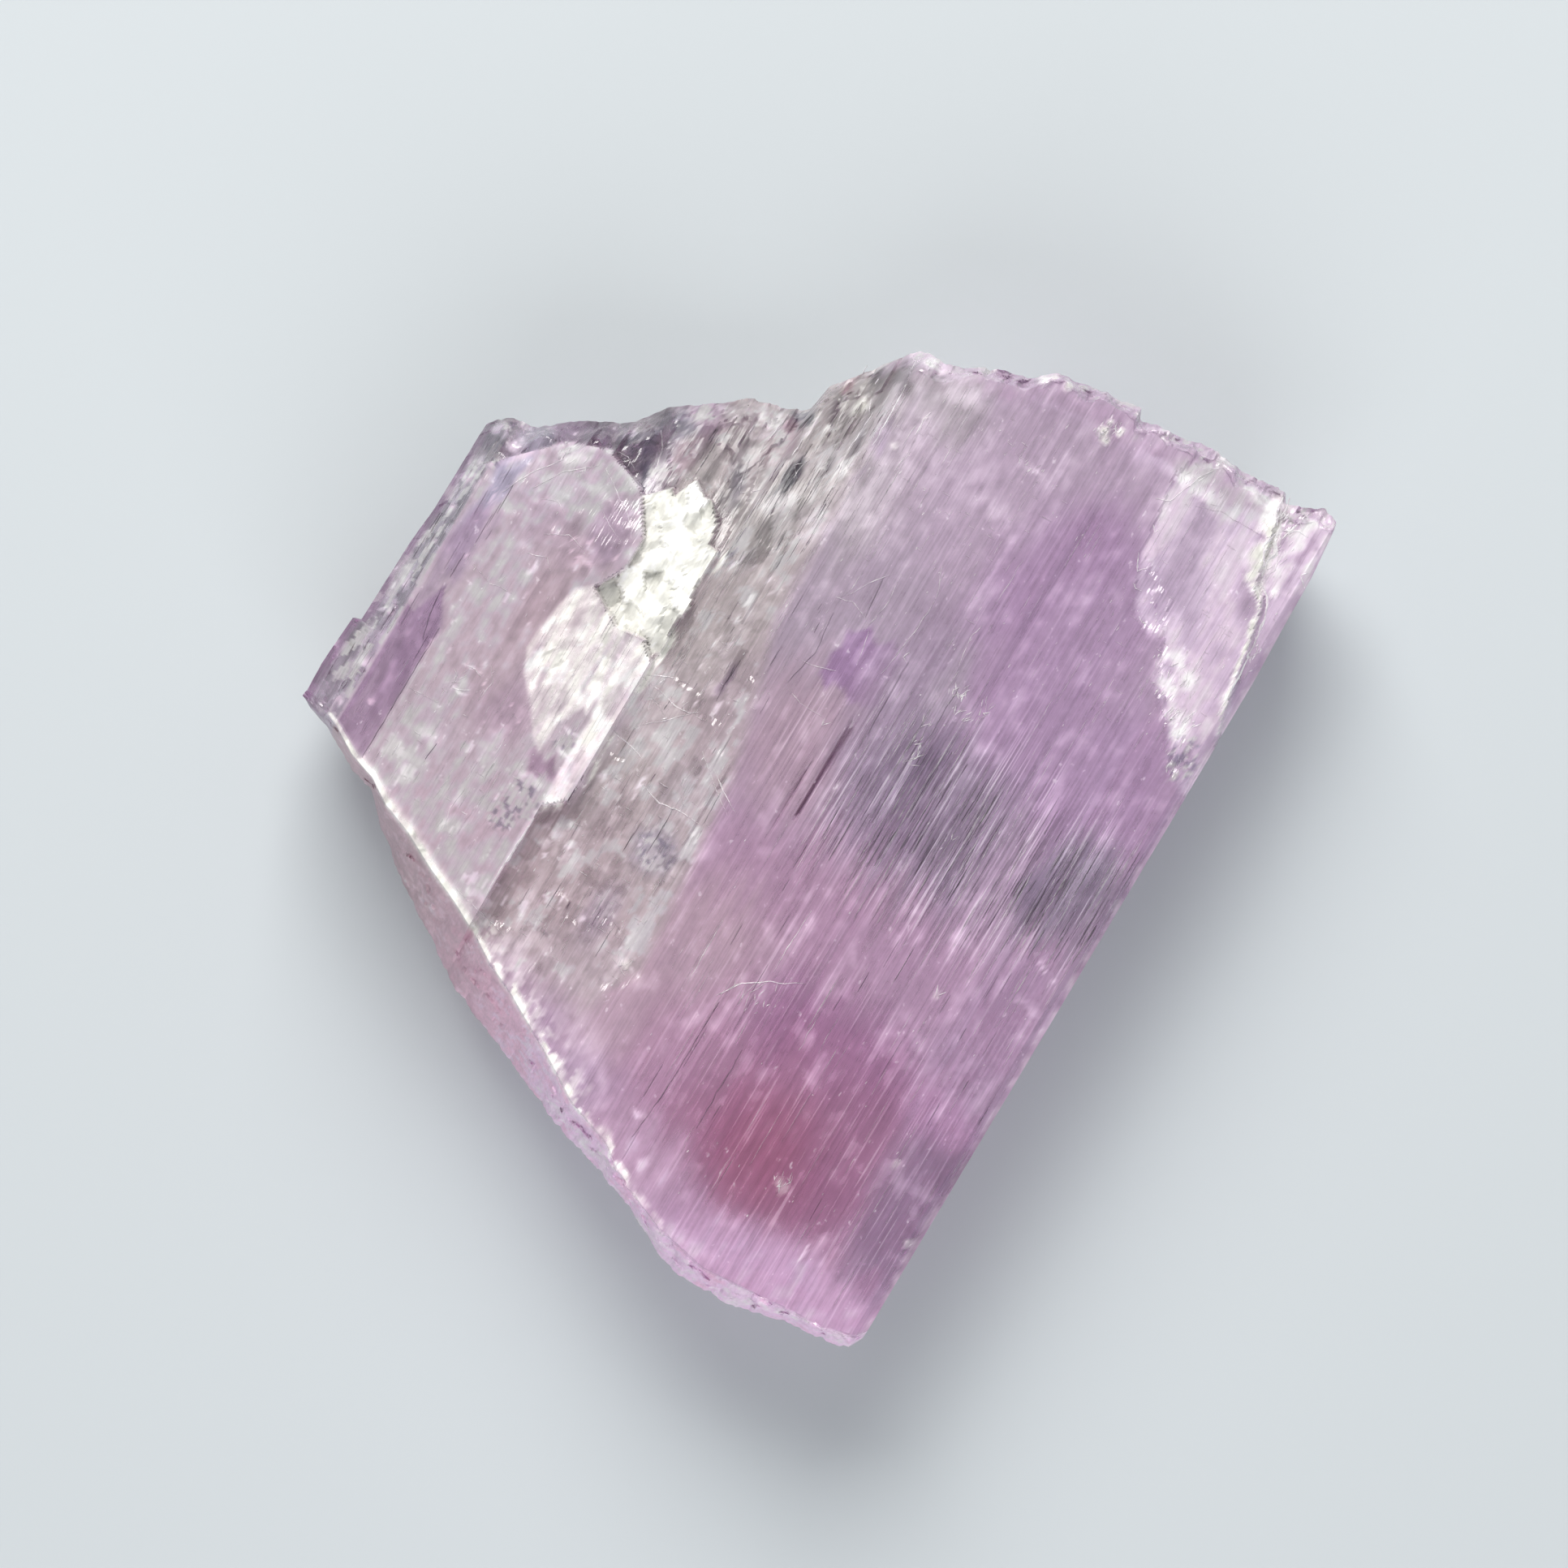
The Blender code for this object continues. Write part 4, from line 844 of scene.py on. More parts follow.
def groove(x, y):
    """Depth of the etched grooves at a point."""
    depth = 0.0
    for groove_x, y0, y1, deepest in GROOVES:
        across = abs(x - groove_x - GROOVE_LEAN * (y - y0)) / GROOVE_HALF
        if across < 1.0 and y0 < y < y1:
            ends = ramp(0.0, GROOVE_FADE, min(y - y0, y1 - y))
            depth = max(depth, deepest * (1.0 - across) * ends)
    return depth


def ridgelets(x, y):
    """Rise of the thin raised lines at a point."""
    rise = 0.0
    for x0, y0, x1, y1, half, top in RIDGELETS:
        if y1 < y < y0:
            middle_x = mix(x0, x1, (y0 - y) / (y0 - y1))
            across = abs(x - middle_x - lumps(x0, y, RIDGELET_WANDER, 67.0)) / half
            rise = max(rise, top * (1.0 - across) * ramp(0.0, RIDGELET_FADE, min(y - y1, y0 - y)))
    return rise


def chip_rise(x, y):
    """Rise of the crust chips and crumbs at a point."""
    wobble = 1.0 + lumps(x, y, CHIP_WOBBLE, 13.0)
    total = 0.0
    for chip_x, chip_y, radius, rise in CHIPS:
        reach = math.hypot(x - chip_x, y - chip_y) / (radius * wobble)
        if reach < 1.0:
            total += rise * (1.0 - reach * reach) + rise * facets(x, y, CHIP_FACET, 19) * (1.0 - reach)
    return total


def scoop_crumbs(x, y):
    """Crumbled facets along the lower border of the scoop."""
    middle_x, middle_y, lean, half = SCOOP_BAND
    share = max(0.0, 1.0 - abs((x - middle_x) + lean * (y - middle_y)) / half)
    if x > SCOOP_CORNER[0] and y < SCOOP_CORNER[1]:
        share = 1.0
    return facets(x, y, SCOOP_FACET, 17) * share


def layer_relief(x, y):
    """Flaws and, in its upper part, folds of the raised layer."""
    folds = streaks(x + 0.5 * y, y - 0.4 * x, LAYER_FOLD, 53.0) * ramp(*LAYER_FOLD_RANGE, y)
    height = streaks(x, y, LAYER_FLAW, 51.0) + folds
    if inside(UNDER_VEIL, x, y):
        height += streaks(x, y, VEIL_STREAK, 57.0)
    return height


def face_relief(x, y, lowered, opening):
    """Striations of the broad face, and small cleavage blocks where it lies lower."""
    calm = 1.0 - min(1.0, 2.0 * opening)
    height = streaks(x, y, COARSE_STRIATION, 61.0) * calm + streaks(x, y, FINE_STRIATION, 71.0) * calm
    patch_size, patch_level = SMALL_BLOCK_PATCH
    if lowered > 0.0 and rough(x, y, 0.0, patch_size, 29.0) > patch_level:
        i, j = math.floor(x / SMALL_BLOCK[1]), math.floor(y / SMALL_BLOCK[2])
        height += SMALL_BLOCK[0] * (hash_step(i, j) - 0.5) * lowered * calm
    return height


def bevel_drop(x, y):
    """How far the bevels and the stripe beside the left one lie below the face."""
    drop = 0.0
    if x < LEFT_STRIPE_X:
        drop += LEFT_STRIPE_DROP * min(1.0, (LEFT_STRIPE_X - x) / (LEFT_STRIPE_X - LEFT_BEVEL_X))
    if x < LEFT_BEVEL_X:
        drop += LEFT_BEVEL_DROP * (LEFT_BEVEL_X - x) / (LEFT_BEVEL_X - along(LEFT_EDGE, y))
        drop -= facets(x, y, BEVEL_FACET, 47)
    if x > RIGHT_BEVEL_X:
        drop += RIGHT_BEVEL_DROP * (x - RIGHT_BEVEL_X) / (RIGHT_X - RIGHT_BEVEL_X)
    return drop


def face_height(x, y):
    """Height of the broad front face, its ledges, bevels, hollow, grooves and fine relief."""
    layer = inside(LAYER, x, y)
    bare = 1.0 - layer
    flakes = inside(FLAKES, x, y) * bare
    lowered = zone(x, y) * bare
    opening = hollow(x, y) * (1.0 - flakes)
    z = THICKNESS - LAYER_RISE * bare
    z += growth_step(x) * bare + lumps(x, y, FACE_WAVE, 3.0)
    z -= (ZONE_DROP - BLOCK_RISE * blocks(x, y) * (1.0 - flakes)) * lowered
    z -= HOLLOW_DROP * opening
    if opening > 0.0 and bare:
        shown = min(1.0, 2.0 * opening)
        z += streaks(x, y, SPLINTER_RIDGE, 4.0) * shown + facets(x, y, SPLINTER, 11) * shown
    if layer:
        z += layer_relief(x, y)
    elif flakes:
        z += FLAKES_RISE * (1.0 + lumps(x, y, FLAKE_LUMP, 7.0)) + facets(x, y, CRUMB, 3)
    else:
        z += face_relief(x, y, lowered, opening)
    if inside(SCOOP, x, y):
        z += scoop_crumbs(x, y) - SCOOP_DROP
    if y > CRACK[0][0]:
        z -= WEDGE_DROP * ramp(-CRACK_HALF, CRACK_HALF, x - along(CRACK, y))
    return z + ridgelets(x, y) - groove(x, y) + chip_rise(x, y) - bevel_drop(x, y)


def make_columns():
    """The x of each mesh column: even, and in pairs at the straight ledges of the raised layer."""
    count = round((RIGHT_X - LEFT_X) / CELL)
    columns = [mix(LEFT_X, RIGHT_X, i / count) for i in range(count + 1)]
    pairs = [(x - LEDGE_HALF, x + LEDGE_HALF) for x in LAYER_LEDGES_X]
    for low, high in pairs:
        columns = [x for x in columns if not low - CELL / 2.0 < x < high + CELL / 2.0]
        columns += [low, high]
    return sorted(columns)


def column_x(x, y):
    """Shifts a column near the left or right edge so that the mesh follows the edge."""
    if x < LEFT_BEVEL_X:
        return mix(LEFT_BEVEL_X, along(LEFT_EDGE, y), (LEFT_BEVEL_X - x) / (LEFT_BEVEL_X - LEFT_X))
    if x > RIGHT_BEVEL_X:
        return mix(RIGHT_BEVEL_X, along(RIGHT_EDGE, y), (x - RIGHT_BEVEL_X) / (RIGHT_X - RIGHT_BEVEL_X))
    return x


def ragged(outline, rag, x, salt):
    """y of an end's outline at x, with small teeth."""
    return along(outline, x) + lumps(x, 0.0, rag, salt) + lumps(x, 0.0, TOOTH, salt + 3.0)


def lower_end_points(x, y_low, y_ridge, ridge_z):
    """Points of the steep lower end along one column, up to the ridge."""
    points = []
    for j in range(END_ROWS):
        share = j / END_ROWS
        y = mix(y_low, y_ridge, share)
        px = column_x(x, y)
        bulge = END_BULGE + lumps(px, y, END_LUMP, 5.0)
        bulge += facets(px, 2.0 * y, END_GRAIN, 23) + facets(px, 2.0 * y, FINE_GRAIN, 37)
        z = mix(along(LOWER_HEIGHT, px), ridge_z, share) + bulge * math.sin(math.pi * share)
        points.append((px, y, z, px, y - max(0.0, ridge_z - z)))
    return points


def upper_end_points(x, y_shoulder, y_high, shoulder_z):
    """Points of the broken upper end along one column, from its shoulder to the outline."""
    points = []
    for j in range(1, SLOPE_ROWS + 1):
        share = j / SLOPE_ROWS
        y = mix(y_shoulder, y_high, share)
        px = column_x(x, y)
        end_z = min(along(UPPER_HEIGHT, px) + facets(px, 0.0, EDGE_FACET, 43), shoulder_z - SLOPE_LEAST)
        broken = lumps(px, y, CHIP, 23.0) + facets(px, y, SLOPE_FACET, 31)
        z = mix(shoulder_z, end_z, share ** SLOPE_CURVE) + broken * math.sin(math.pi * share) ** CHIP_SPREAD
        points.append((px, y, z, px, y + max(0.0, shoulder_z - z)))
    return points


def front_column(x):
    """Points of the front along one column, from the lower outline to the upper one.

    Each point is its x, y and z, and then its x and y with the steep parts folded out flat.
    """
    y_low, y_ridge = ragged(LOWER_END, LOWER_RAG, x, 11.0), along(LOWER_RIDGE, x)
    y_high = ragged(UPPER_END, UPPER_RAG, x, 17.0)
    y_shoulder = y_high - along(UPPER_SLOPE, x) * (1.0 + lumps(x, 0.0, SHOULDER_WANDER, 113.0))
    points = lower_end_points(x, y_low, y_ridge, face_height(column_x(x, y_ridge), y_ridge))
    rows = [mix(y_ridge, y_shoulder, j / FACE_ROWS) for j in range(FACE_ROWS + 1)]
    for y in with_ledges(x, rows):
        px = column_x(x, y)
        points.append((px, y, face_height(px, y), px, y))
    return points + upper_end_points(x, y_shoulder, y_high, points[-1][2])


def back_height(x):
    """Height of the back face above the surface that it lies on: growth steps and fine grooves."""
    return along(BACK_STEPS, x) + max(0.0, streaks(x, 0.0, BACK_GROOVE, 83.0))


def wall_point(side, top, share, corners):
    """A point of a side wall: share 0 is the front's outline above it and 1 is the back."""
    x, y, z, flat_x, flat_y = top
    left, right, low, high = corners
    px = x + mix(along(LEFT_WALL, share), -along(RIGHT_WALL, share), (x - left) / (right - left))
    inset = mix(along(LOWER_WALL, share), -along(UPPER_WALL, share), (y - low) / (high - low))
    pz = mix(z, back_height(px), share)
    outward = z - pz if side in ("right", "upper") else pz - z
    middle = max(0.0, math.sin(math.pi * share)) ** 0.5
    if side in ("left", "right"):
        ripple = streaks(y, pz, WALL_RIPPLE, 31.0) + streaks(y, pz, WALL_LINE, 37.0)
        return px + ripple * middle, y + inset, pz, flat_x + outward, flat_y
    ripple, crumbs = (ETCHED_RIPPLE, LOWER_CRUMBS) if side == "lower" else (BROKEN_RIPPLE, 1.0)
    relief = ripple * rough(px, y, pz, RIPPLE_SIZE, 37.0) + facets(px, pz, WALL_FACET, 41) * crumbs
    return px, y + inset + relief * middle, pz, flat_x, flat_y + outward


def back_faces(index, last, top):
    """Faces of the back: one strip for each column, which takes in the border's points."""
    faces = []
    for i in range(last):
        loop = [index[WALL_LEVELS, i, 0]]
        if i == 0:
            loop += [index[WALL_LEVELS, 0, j] for j in range(1, top)]
        loop += [index[WALL_LEVELS, i, top], index[WALL_LEVELS, i + 1, top]]
        if i + 1 == last:
            loop += [index[WALL_LEVELS, last, j] for j in range(top - 1, 0, -1)]
        loop.append(index[WALL_LEVELS, i + 1, 0])
        faces.append(tuple(loop))
    return faces


def crystal_points():
    """Vertices, their folded-out positions, and faces: front, four side walls and the stepped back."""
    front = [front_column(x) for x in make_columns()]
    last, top = len(front) - 1, len(front[0]) - 1
    vertices, index = [], {}
    for i, column in enumerate(front):
        for j, point in enumerate(column):
            index[0, i, j] = len(vertices)
            vertices.append(point)
    border = [(i, 0) for i in range(last)] + [(last, j) for j in range(top)]
    border += [(i, top) for i in range(last, 0, -1)] + [(0, j) for j in range(top, 0, -1)]
    faces = []
    for i in range(last):
        for j in range(top):
            faces.append((index[0, i, j], index[0, i + 1, j], index[0, i + 1, j + 1], index[0, i, j + 1]))
    for level in range(1, WALL_LEVELS + 1):
        for i, j in border:
            side = "lower" if j == 0 else "upper" if j == top else "left" if i == 0 else "right"
            corners = (front[0][j][0], front[last][j][0], front[i][0][1], front[i][top][1])
            index[level, i, j] = len(vertices)
            vertices.append(wall_point(side, front[i][j], level / WALL_LEVELS, corners))
        for here, there in zip(border, border[1:] + border[:1]):
            below = (index[level, *here], index[level, *there])
            above = (index[level - 1, *there], index[level - 1, *here])
            faces.append(below + above)
    vertices = np.array(vertices)
    return vertices[:, :3], vertices[:, 3:], faces + back_faces(index, last, top)


# Painting of the surface

def unit(values):
    """Values held between 0 and 1."""
    return np.clip(values, 0.0, 1.0)


def fade(values, width):
    """0 up to zero, 1 from the given width on, and an even rise between."""
    return np.clip(values / width, 0.0, 1.0)


def segment_distance(x, y, x0, y0, x1, y1):
    """Distance of each point to a straight line between two points."""
    dx, dy = x1 - x0, y1 - y0
    share = np.clip(((x - x0) * dx + (y - y0) * dy) / max(dx * dx + dy * dy, 1e-9), 0.0, 1.0)
    return np.hypot(x - x0 - share * dx, y - y0 - share * dy)


def polygon_share(x, y, polygon, soft):
    """Soft mask of a closed outline: 1 inside, 0 outside, with a border as wide as soft."""
    within = np.zeros(len(x), dtype=bool)
    nearest = np.full(len(x), 1e9)
    for (x0, y0), (x1, y1) in zip(polygon, polygon[1:] + polygon[:1]):
        crosses = (y0 > y) != (y1 > y)
        if y1 != y0:
            within ^= crosses & (x < (x1 - x0) * (y - y0) / (y1 - y0) + x0)
        nearest = np.minimum(nearest, segment_distance(x, y, x0, y0, x1, y1))
    signed = np.where(within, nearest, -nearest)
    return np.clip(0.5 + signed / soft, 0.0, 1.0)


def outline_gap(x, y, polygon):
    """Distance of each point to a closed outline."""
    gaps = [segment_distance(x, y, *start, *end) for start, end in zip(polygon, polygon[1:] + polygon[:1])]
    return np.min(gaps, axis=0)


def ellipse_share(x, y, cx, cy, rx, ry, turn, soft):
    """Soft elliptical mask: 1 in its middle, 0 outside."""
    angle = math.radians(turn)
    dx, dy = x - cx, y - cy
    u = (dx * math.cos(angle) + dy * math.sin(angle)) / rx
    v = (dy * math.cos(angle) - dx * math.sin(angle)) / ry
    share = np.clip((1.0 + soft - np.hypot(u, v)) / (2.0 * soft), 0.0, 1.0)
    return share * share * (3.0 - 2.0 * share)


def field(x, y, across, length, salt, octaves=1):
    """Smooth noise between about -1 and 1 at many points, drawn out along the crystal."""
    total = np.zeros(len(x))
    for octave in range(octaves):
        size = 2.0 ** octave
        places = zip(x * size / across, y * size / length)
        total += np.array([noise.noise(Vector((a, b, salt + octave))) for a, b in places]) / size
    return total


def hash_array(i, j):
    """The same pseudo-random value as hash_step, for arrays."""
    value = np.sin(i * HASH_I + j * HASH_J + SEED) * HASH_SPREAD
    return value - np.floor(value)


def cell_field(x, y, across, length, salt):
    """Irregular cells: a value between 0 and 1 for each cell, and how near a point is to its border."""
    u, v = x / across, y / length
    first, second = np.full(len(x), 1e9), np.full(len(x), 1e9)
    value = np.zeros(len(x))
    for di in (-1, 0, 1):
        for dj in (-1, 0, 1):
            i, j = np.floor(u) + di, np.floor(v) + dj
            at_u, at_v = hash_array(i, j + salt), hash_array(j - salt, i)
            reach = np.hypot(u - i - at_u, v - j - at_v)
            closer = reach < first
            second = np.where(closer, first, np.minimum(second, reach))
            value = np.where(closer, hash_array(7.0 * i + 1.0, 2.0 * j + salt), value)
            first = np.minimum(first, reach)
    return value, second - first


def square_field(x, y, across, length, salt):
    """Rectangular cleavage cells, with a value between 0 and 1 for each."""
    wave, wave_length = SQUARE_WAVE
    i = np.floor(x / across + wave * np.sin(y / wave_length + salt))
    j = np.floor(y / length + SQUARE_STAGGER * hash_array(i, salt))
    return hash_array(i + salt, j)


def between(low, high, share):
    """Tones from one to another, by each vertex's share."""
    return np.array(low) + (np.array(high) - np.array(low)) * share[:, None]


def blend(tone, share, colour):
    """Blends a colour, or one colour for each vertex, into the tones."""
    tone += (np.array(colour, dtype=float) - tone) * unit(share)[:, None]


def brighten(tone, change):
    """Makes each tone brighter, or darker below zero, by a share of itself."""
    tone *= 1.0 + change[:, None]


def paint_zones(tone, x, y, zones, within):
    """Blends the colours of soft elliptical zones into the tones, one after the other."""
    for *ellipse, colour, strength in zones:
        blend(tone, ellipse_share(x, y, *ellipse) * strength * within, colour)


class Skin:
    """Every vertex's place, its noise patterns and the soft masks that the painting shares."""

    def __init__(self, points, flat):
        self.x, self.y, self.z = points.T
        self.u, self.v = flat.T
        self.find_sides()
        self.find_patterns()
        self.find_areas()
        self.find_left_top()

    def find_sides(self):
        """How far each vertex belongs to the ends, the side walls and the front."""
        x, y, u, v = self.x, self.y, self.u, self.v
        self.lower_end = fade(y - v, SIDE_FADE)
        self.upper_end = fade(v - y, SIDE_FADE)
        self.sides = fade(np.abs(u - x), SIDE_FADE)
        folded = np.abs(v - y)
        self.front = unit(1.0 - np.abs(u - x) - 0.7 * (y < 0.0) * folded - 0.35 * (y > 0.0) * folded)
        self.calm = 1.0 - 0.75 * np.maximum(self.lower_end, self.upper_end)

    def find_patterns(self):
        """Noise patterns, drawn on the surface as it is folded out flat."""
        u, v = self.u, self.v
        self.streak = field(u, v, *STREAK) * self.calm
        self.cloud = field(u, v, *CLOUD)
        self.mottle = field(u, v, *MOTTLE)
        self.shift = field(u, v, *SHIFT) * self.calm
        self.blocky = square_field(u, v, *WIDE_BLOCK) * 0.6 + square_field(u, v, *NARROW_BLOCK) * 0.4 - 0.5
        self.broken, self.broken_edge = cell_field(u, v, *BROKEN_CELL)
        self.crumb, self.crumb_edge = cell_field(self.x, self.y, *CRUMB_CELL)
        self.small_crumb, _ = cell_field(self.x, self.y, *SMALL_CRUMB_CELL)
        jagged = (1.6 - (self.y < JAGGED_Y)) * self.shift
        self.wander_x = self.x + 0.9 * field(u, v, *WANDER_X)
        self.wander_y = self.y + field(u, v, *WANDER_Y) + jagged

    def find_areas(self):
        """Soft masks of the parts of the face."""
        x, y, mottle, shift = self.x, self.y, self.mottle, self.shift
        layer = polygon_share(x, y, LAYER, 0.3)
        bare = 1.0 - layer
        feather = 1.6 * unit(field(x, y, *FEATHER) + 0.1) * fade(x - FEATHER_X, 1.0)
        self.flakes = polygon_share(x - feather, y, FLAKES, 0.25) * bare * self.front
        self.colourless = np.array([zone(a, b) for a, b in zip(x + 0.5 * self.blocky, y)]) * bare
        splinters = polygon_share(x + 0.4 * mottle, y + 0.8 * shift, SPLINTERS, 2.0)
        self.splintered = splinters * (1.0 - self.flakes) * bare
        reach = 2.2 * unit(shift + 0.3 * mottle + 0.1) * fade(x - VEIL_REACH_X, 1.5)
        self.under = polygon_share(x - reach, y, UNDER_VEIL, 0.5) * self.front
        self.fan = polygon_share(x, y, FAN, 0.4) * self.front
        scoop = polygon_share(x + 0.3 * mottle, y + 0.3 * self.cloud, SCOOP, 0.5) * self.front
        self.scoop = scoop * np.clip(SCOOP_TOP + 0.5 * mottle - y, 0.35, 1.0)
        self.ridge_gap = y - np.array([along(LOWER_RIDGE, a) for a in x])
        self.end_gap = np.array([along(UPPER_END, a) for a in x]) - y
        self.slope = np.maximum(fade(-0.1 - self.ridge_gap, 0.3), self.lower_end)
        self.shade = fade(x - SLOPE_SHADE[0], SLOPE_SHADE[1])
        self.layer = layer * (1.0 - self.slope)
        self.bevel = fade(LEFT_BEVEL_X + 0.1 - x, 0.25) * (1.0 - self.sides)

    def find_left_top(self):
        """The bare corner above the layer, and the glassy parts in it and on the bevel."""
        x, y = self.x, self.y
        self.left_top = fade(LEFT_TOP[0] - x, 1.5) * (1.0 - self.layer) * fade(y - LEFT_TOP[1], 2.0)
        glassy = self.left_top * fade(x - GLASSY_X[0], 2.0) * fade(GLASSY_X[1] - x, 1.6)
        corner = fade(y - GLASSY_CORNER[1], 0.8) * fade(GLASSY_CORNER[0] - x, 0.5)
        self.glassy = np.maximum(glassy, 1.4 * corner)


def paint_body(tone, skin):
    """Body colours of the broad zones, with painted shade in places: dark windows where the background shows
    through, and a shadow beside the layer's ledge.
    """
    x, y, mottle, shift = skin.x, skin.y, skin.mottle, skin.shift
    paint_zones(tone, skin.wander_x, skin.wander_y, ZONES, np.ones(len(x)))
    blend(tone, skin.colourless * 0.92, BEIGE)
    blend(tone, skin.splintered * 0.9, OLIVE)
    blend(tone, skin.layer * 0.95, LOBE_PINK)
    paint_zones(tone, skin.wander_x, skin.wander_y, LAYER_ZONES, np.maximum(skin.layer, skin.left_top * 0.6))
    paint_zones(tone, x + 0.4 * mottle, y + 0.5 * shift, COLOURLESS_ZONES, skin.colourless)
    spot = polygon_share(x + 0.12 * mottle, y + 0.5 * shift, SPOT, 0.35)
    blend(tone, spot * np.clip((SPOT_FADE_X - x) / 4.4, 0.25, 0.9), SPOT_VIOLET)
    stripe = polygon_share(x, y + 0.8 * shift, STRIPE, 0.25)
    blend(tone, stripe * (0.85 + 0.3 * skin.streak), STRIPE_MAUVE)
    blend(tone, skin.left_top * 0.75, LEFT_TOP_GREY)
    splintered = np.maximum(skin.splintered, skin.left_top)
    paint_zones(tone, x + 0.3 * mottle, y + 0.4 * mottle, SPLINTERED_ZONES, splintered)
    blend(tone, skin.scoop * 0.5, SCOOP_PALE)
    brighten(tone, -0.24 * skin.glassy)
    upper_rim = fade(1.9 + 0.8 * mottle - skin.end_gap, 0.8) * (x > UPPER_RIM_X)
    blend(tone, upper_rim * 0.6, RIM_PALE)


def paint_ends(tone, skin):
    """The steep ends: brownish pink to lilac below the ridge, painted lighter to the right as partly painted
    light over its shade, with grains and pale broken borders with painted flashes.
    """
    blend(tone, skin.slope * 0.9, between(SLOPE_BROWN, SLOPE_LILAC, skin.shade))
    grain, _ = cell_field(skin.u, skin.v, *GRAIN_CELL)
    speckle = 0.20 * (grain - 0.5) + 0.14 * (skin.broken - 0.5) + 0.10 * skin.cloud
    brighten(tone, np.maximum(skin.slope, skin.upper_end) * speckle * (1.0 - 0.65 * skin.slope))
    blend(tone, skin.slope * fade(grain - 0.8, 0.1) * 0.2, PALE_VEIL_AND_GLINT)
    # Pale cells and cell borders on the broken upper end, partly painted flashes of light
    flashes = fade(skin.broken - 0.74, 0.1) * 0.45 + fade(0.10 - skin.broken_edge, 0.08) * 0.4
    flashes *= np.clip(0.3 + (skin.v - skin.y) / 8.0, 0.3, 1.0)
    blend(tone, skin.upper_end * flashes * unit(0.7 + skin.cloud), PALE_VEIL_AND_GLINT)


def paint_bevel(tone, skin):
    """The left bevel: a dark outer band, then a broken band of painted glints, on a tone painted lighter
    above.
    """
    x, y, mottle, bevel = skin.x, skin.y, skin.mottle, skin.bevel
    low = fade(BEVEL_SHADE[0] - y, BEVEL_SHADE[1])
    # Partly painted light: the upper bevel lighter than the lower, to lift the steep bevel's shade
    blend(tone, bevel * 0.95, between(BEVEL_UPPER, BEVEL_LOWER, low))
    blend(tone, bevel * fade(y - GLASSY_CORNER[1], 1.0) * 0.7, BEVEL_CORNER)
    border_x = np.array([along(LEFT_EDGE, b) for b in y]) + BEVEL_BORDER_WIDE + 0.3 * mottle
    border = fade(border_x - x, 0.4) * bevel
    # Painted glints: a band of brighter cells, the brightest painted white
    glint, _ = cell_field(skin.u + 0.45 * skin.z + 0.5 * mottle, skin.v + 0.4 * mottle, *GLINT_CELL)
    band = bevel * (1.0 - border) * np.clip((y - BEVEL_GLINT[0]) / BEVEL_GLINT[1], 0.25, 1.0)
    brighten(tone, band * 0.7 * (glint - 0.45))
    blend(tone, band * fade(glint - 0.66, 0.06) * 0.95, FRESH_WHITE_AND_GLINT)
    blend(tone, border * 0.95, BEVEL_BORDER)


def paint_splinters(tone, skin):
    """Elongated cells, some dark and some pale, with pale borders."""
    sliver, sliver_edge = cell_field(skin.u + 0.05 * skin.v, skin.v, *SLIVER_CELL)
    brighten(tone, skin.splintered * 0.30 * (sliver - 0.5))
    blend(tone, skin.splintered * fade(0.12 - sliver, 0.05) * 0.5, SPLINTER_DARK)
    blend(tone, skin.splintered * fade(sliver - 0.86, 0.05) * 0.6, SPLINTER_PALE)
    rims = fade(0.12 - sliver_edge, 0.08) * unit(0.55 + 1.4 * skin.cloud)
    blend(tone, np.maximum(skin.splintered, skin.left_top * 0.5) * rims * 0.8, SPLINTER_RIM)


def paint_texture(tone, skin):
    """Streaks, clouds, cleavage blocks with painted reflections, and the folds of the layer with painted light
    and shade.
    """
    x, y, layer, mottle = skin.x, skin.y, skin.layer, skin.mottle
    brighten(tone, 0.05 * skin.streak + 0.045 * skin.cloud + 0.04 * mottle)
    # Cleavage blocks painted lighter and darker, partly as painted reflections of the cleavage planes
    coarse = square_field(x, y, *COARSE_BLOCK)
    squares = 0.30 * skin.blocky + 0.16 * (coarse - 0.5)
    brighten(tone, skin.colourless * squares + layer * 0.05 * skin.blocky)
    blend(tone, skin.colourless * fade(skin.blocky + 0.5 * coarse - 0.48, 0.12) * 0.45, BLOCK_PALE_AND_REFLECTION)
    brighten(tone, 0.04 * layer)
    # Painted light and shade along the folds of the layer's upper part
    fold = field(x + 0.5 * y, y - 0.4 * x, *FOLD_TONE) * fade(y - FOLD_TONE_Y[0], FOLD_TONE_Y[1])
    brighten(tone, layer * (0.07 * mottle + 0.10 * fold + 0.07 * field(x, y, *LAYER_HAIR)))


def ledge_fringe_and_light(skin):
    """White streaks along the straight ledges of the layer, with painted light over the shade beside them."""
    x, y = skin.x, skin.y
    fringe = unit(1.0 - np.abs(x - FRINGE_X - 0.3 * skin.mottle) / 1.1)
    fringe *= fade(y - FRINGE_Y[0], 3.0) * fade(FRINGE_Y[1] - y, 3.0)
    low = unit(1.0 - np.abs(x - LOW_FRINGE_X) / 0.3)
    low *= (y > LOW_FRINGE_Y[0]) * (y < LOW_FRINGE_Y[1])
    return np.maximum(fringe, low) * skin.front


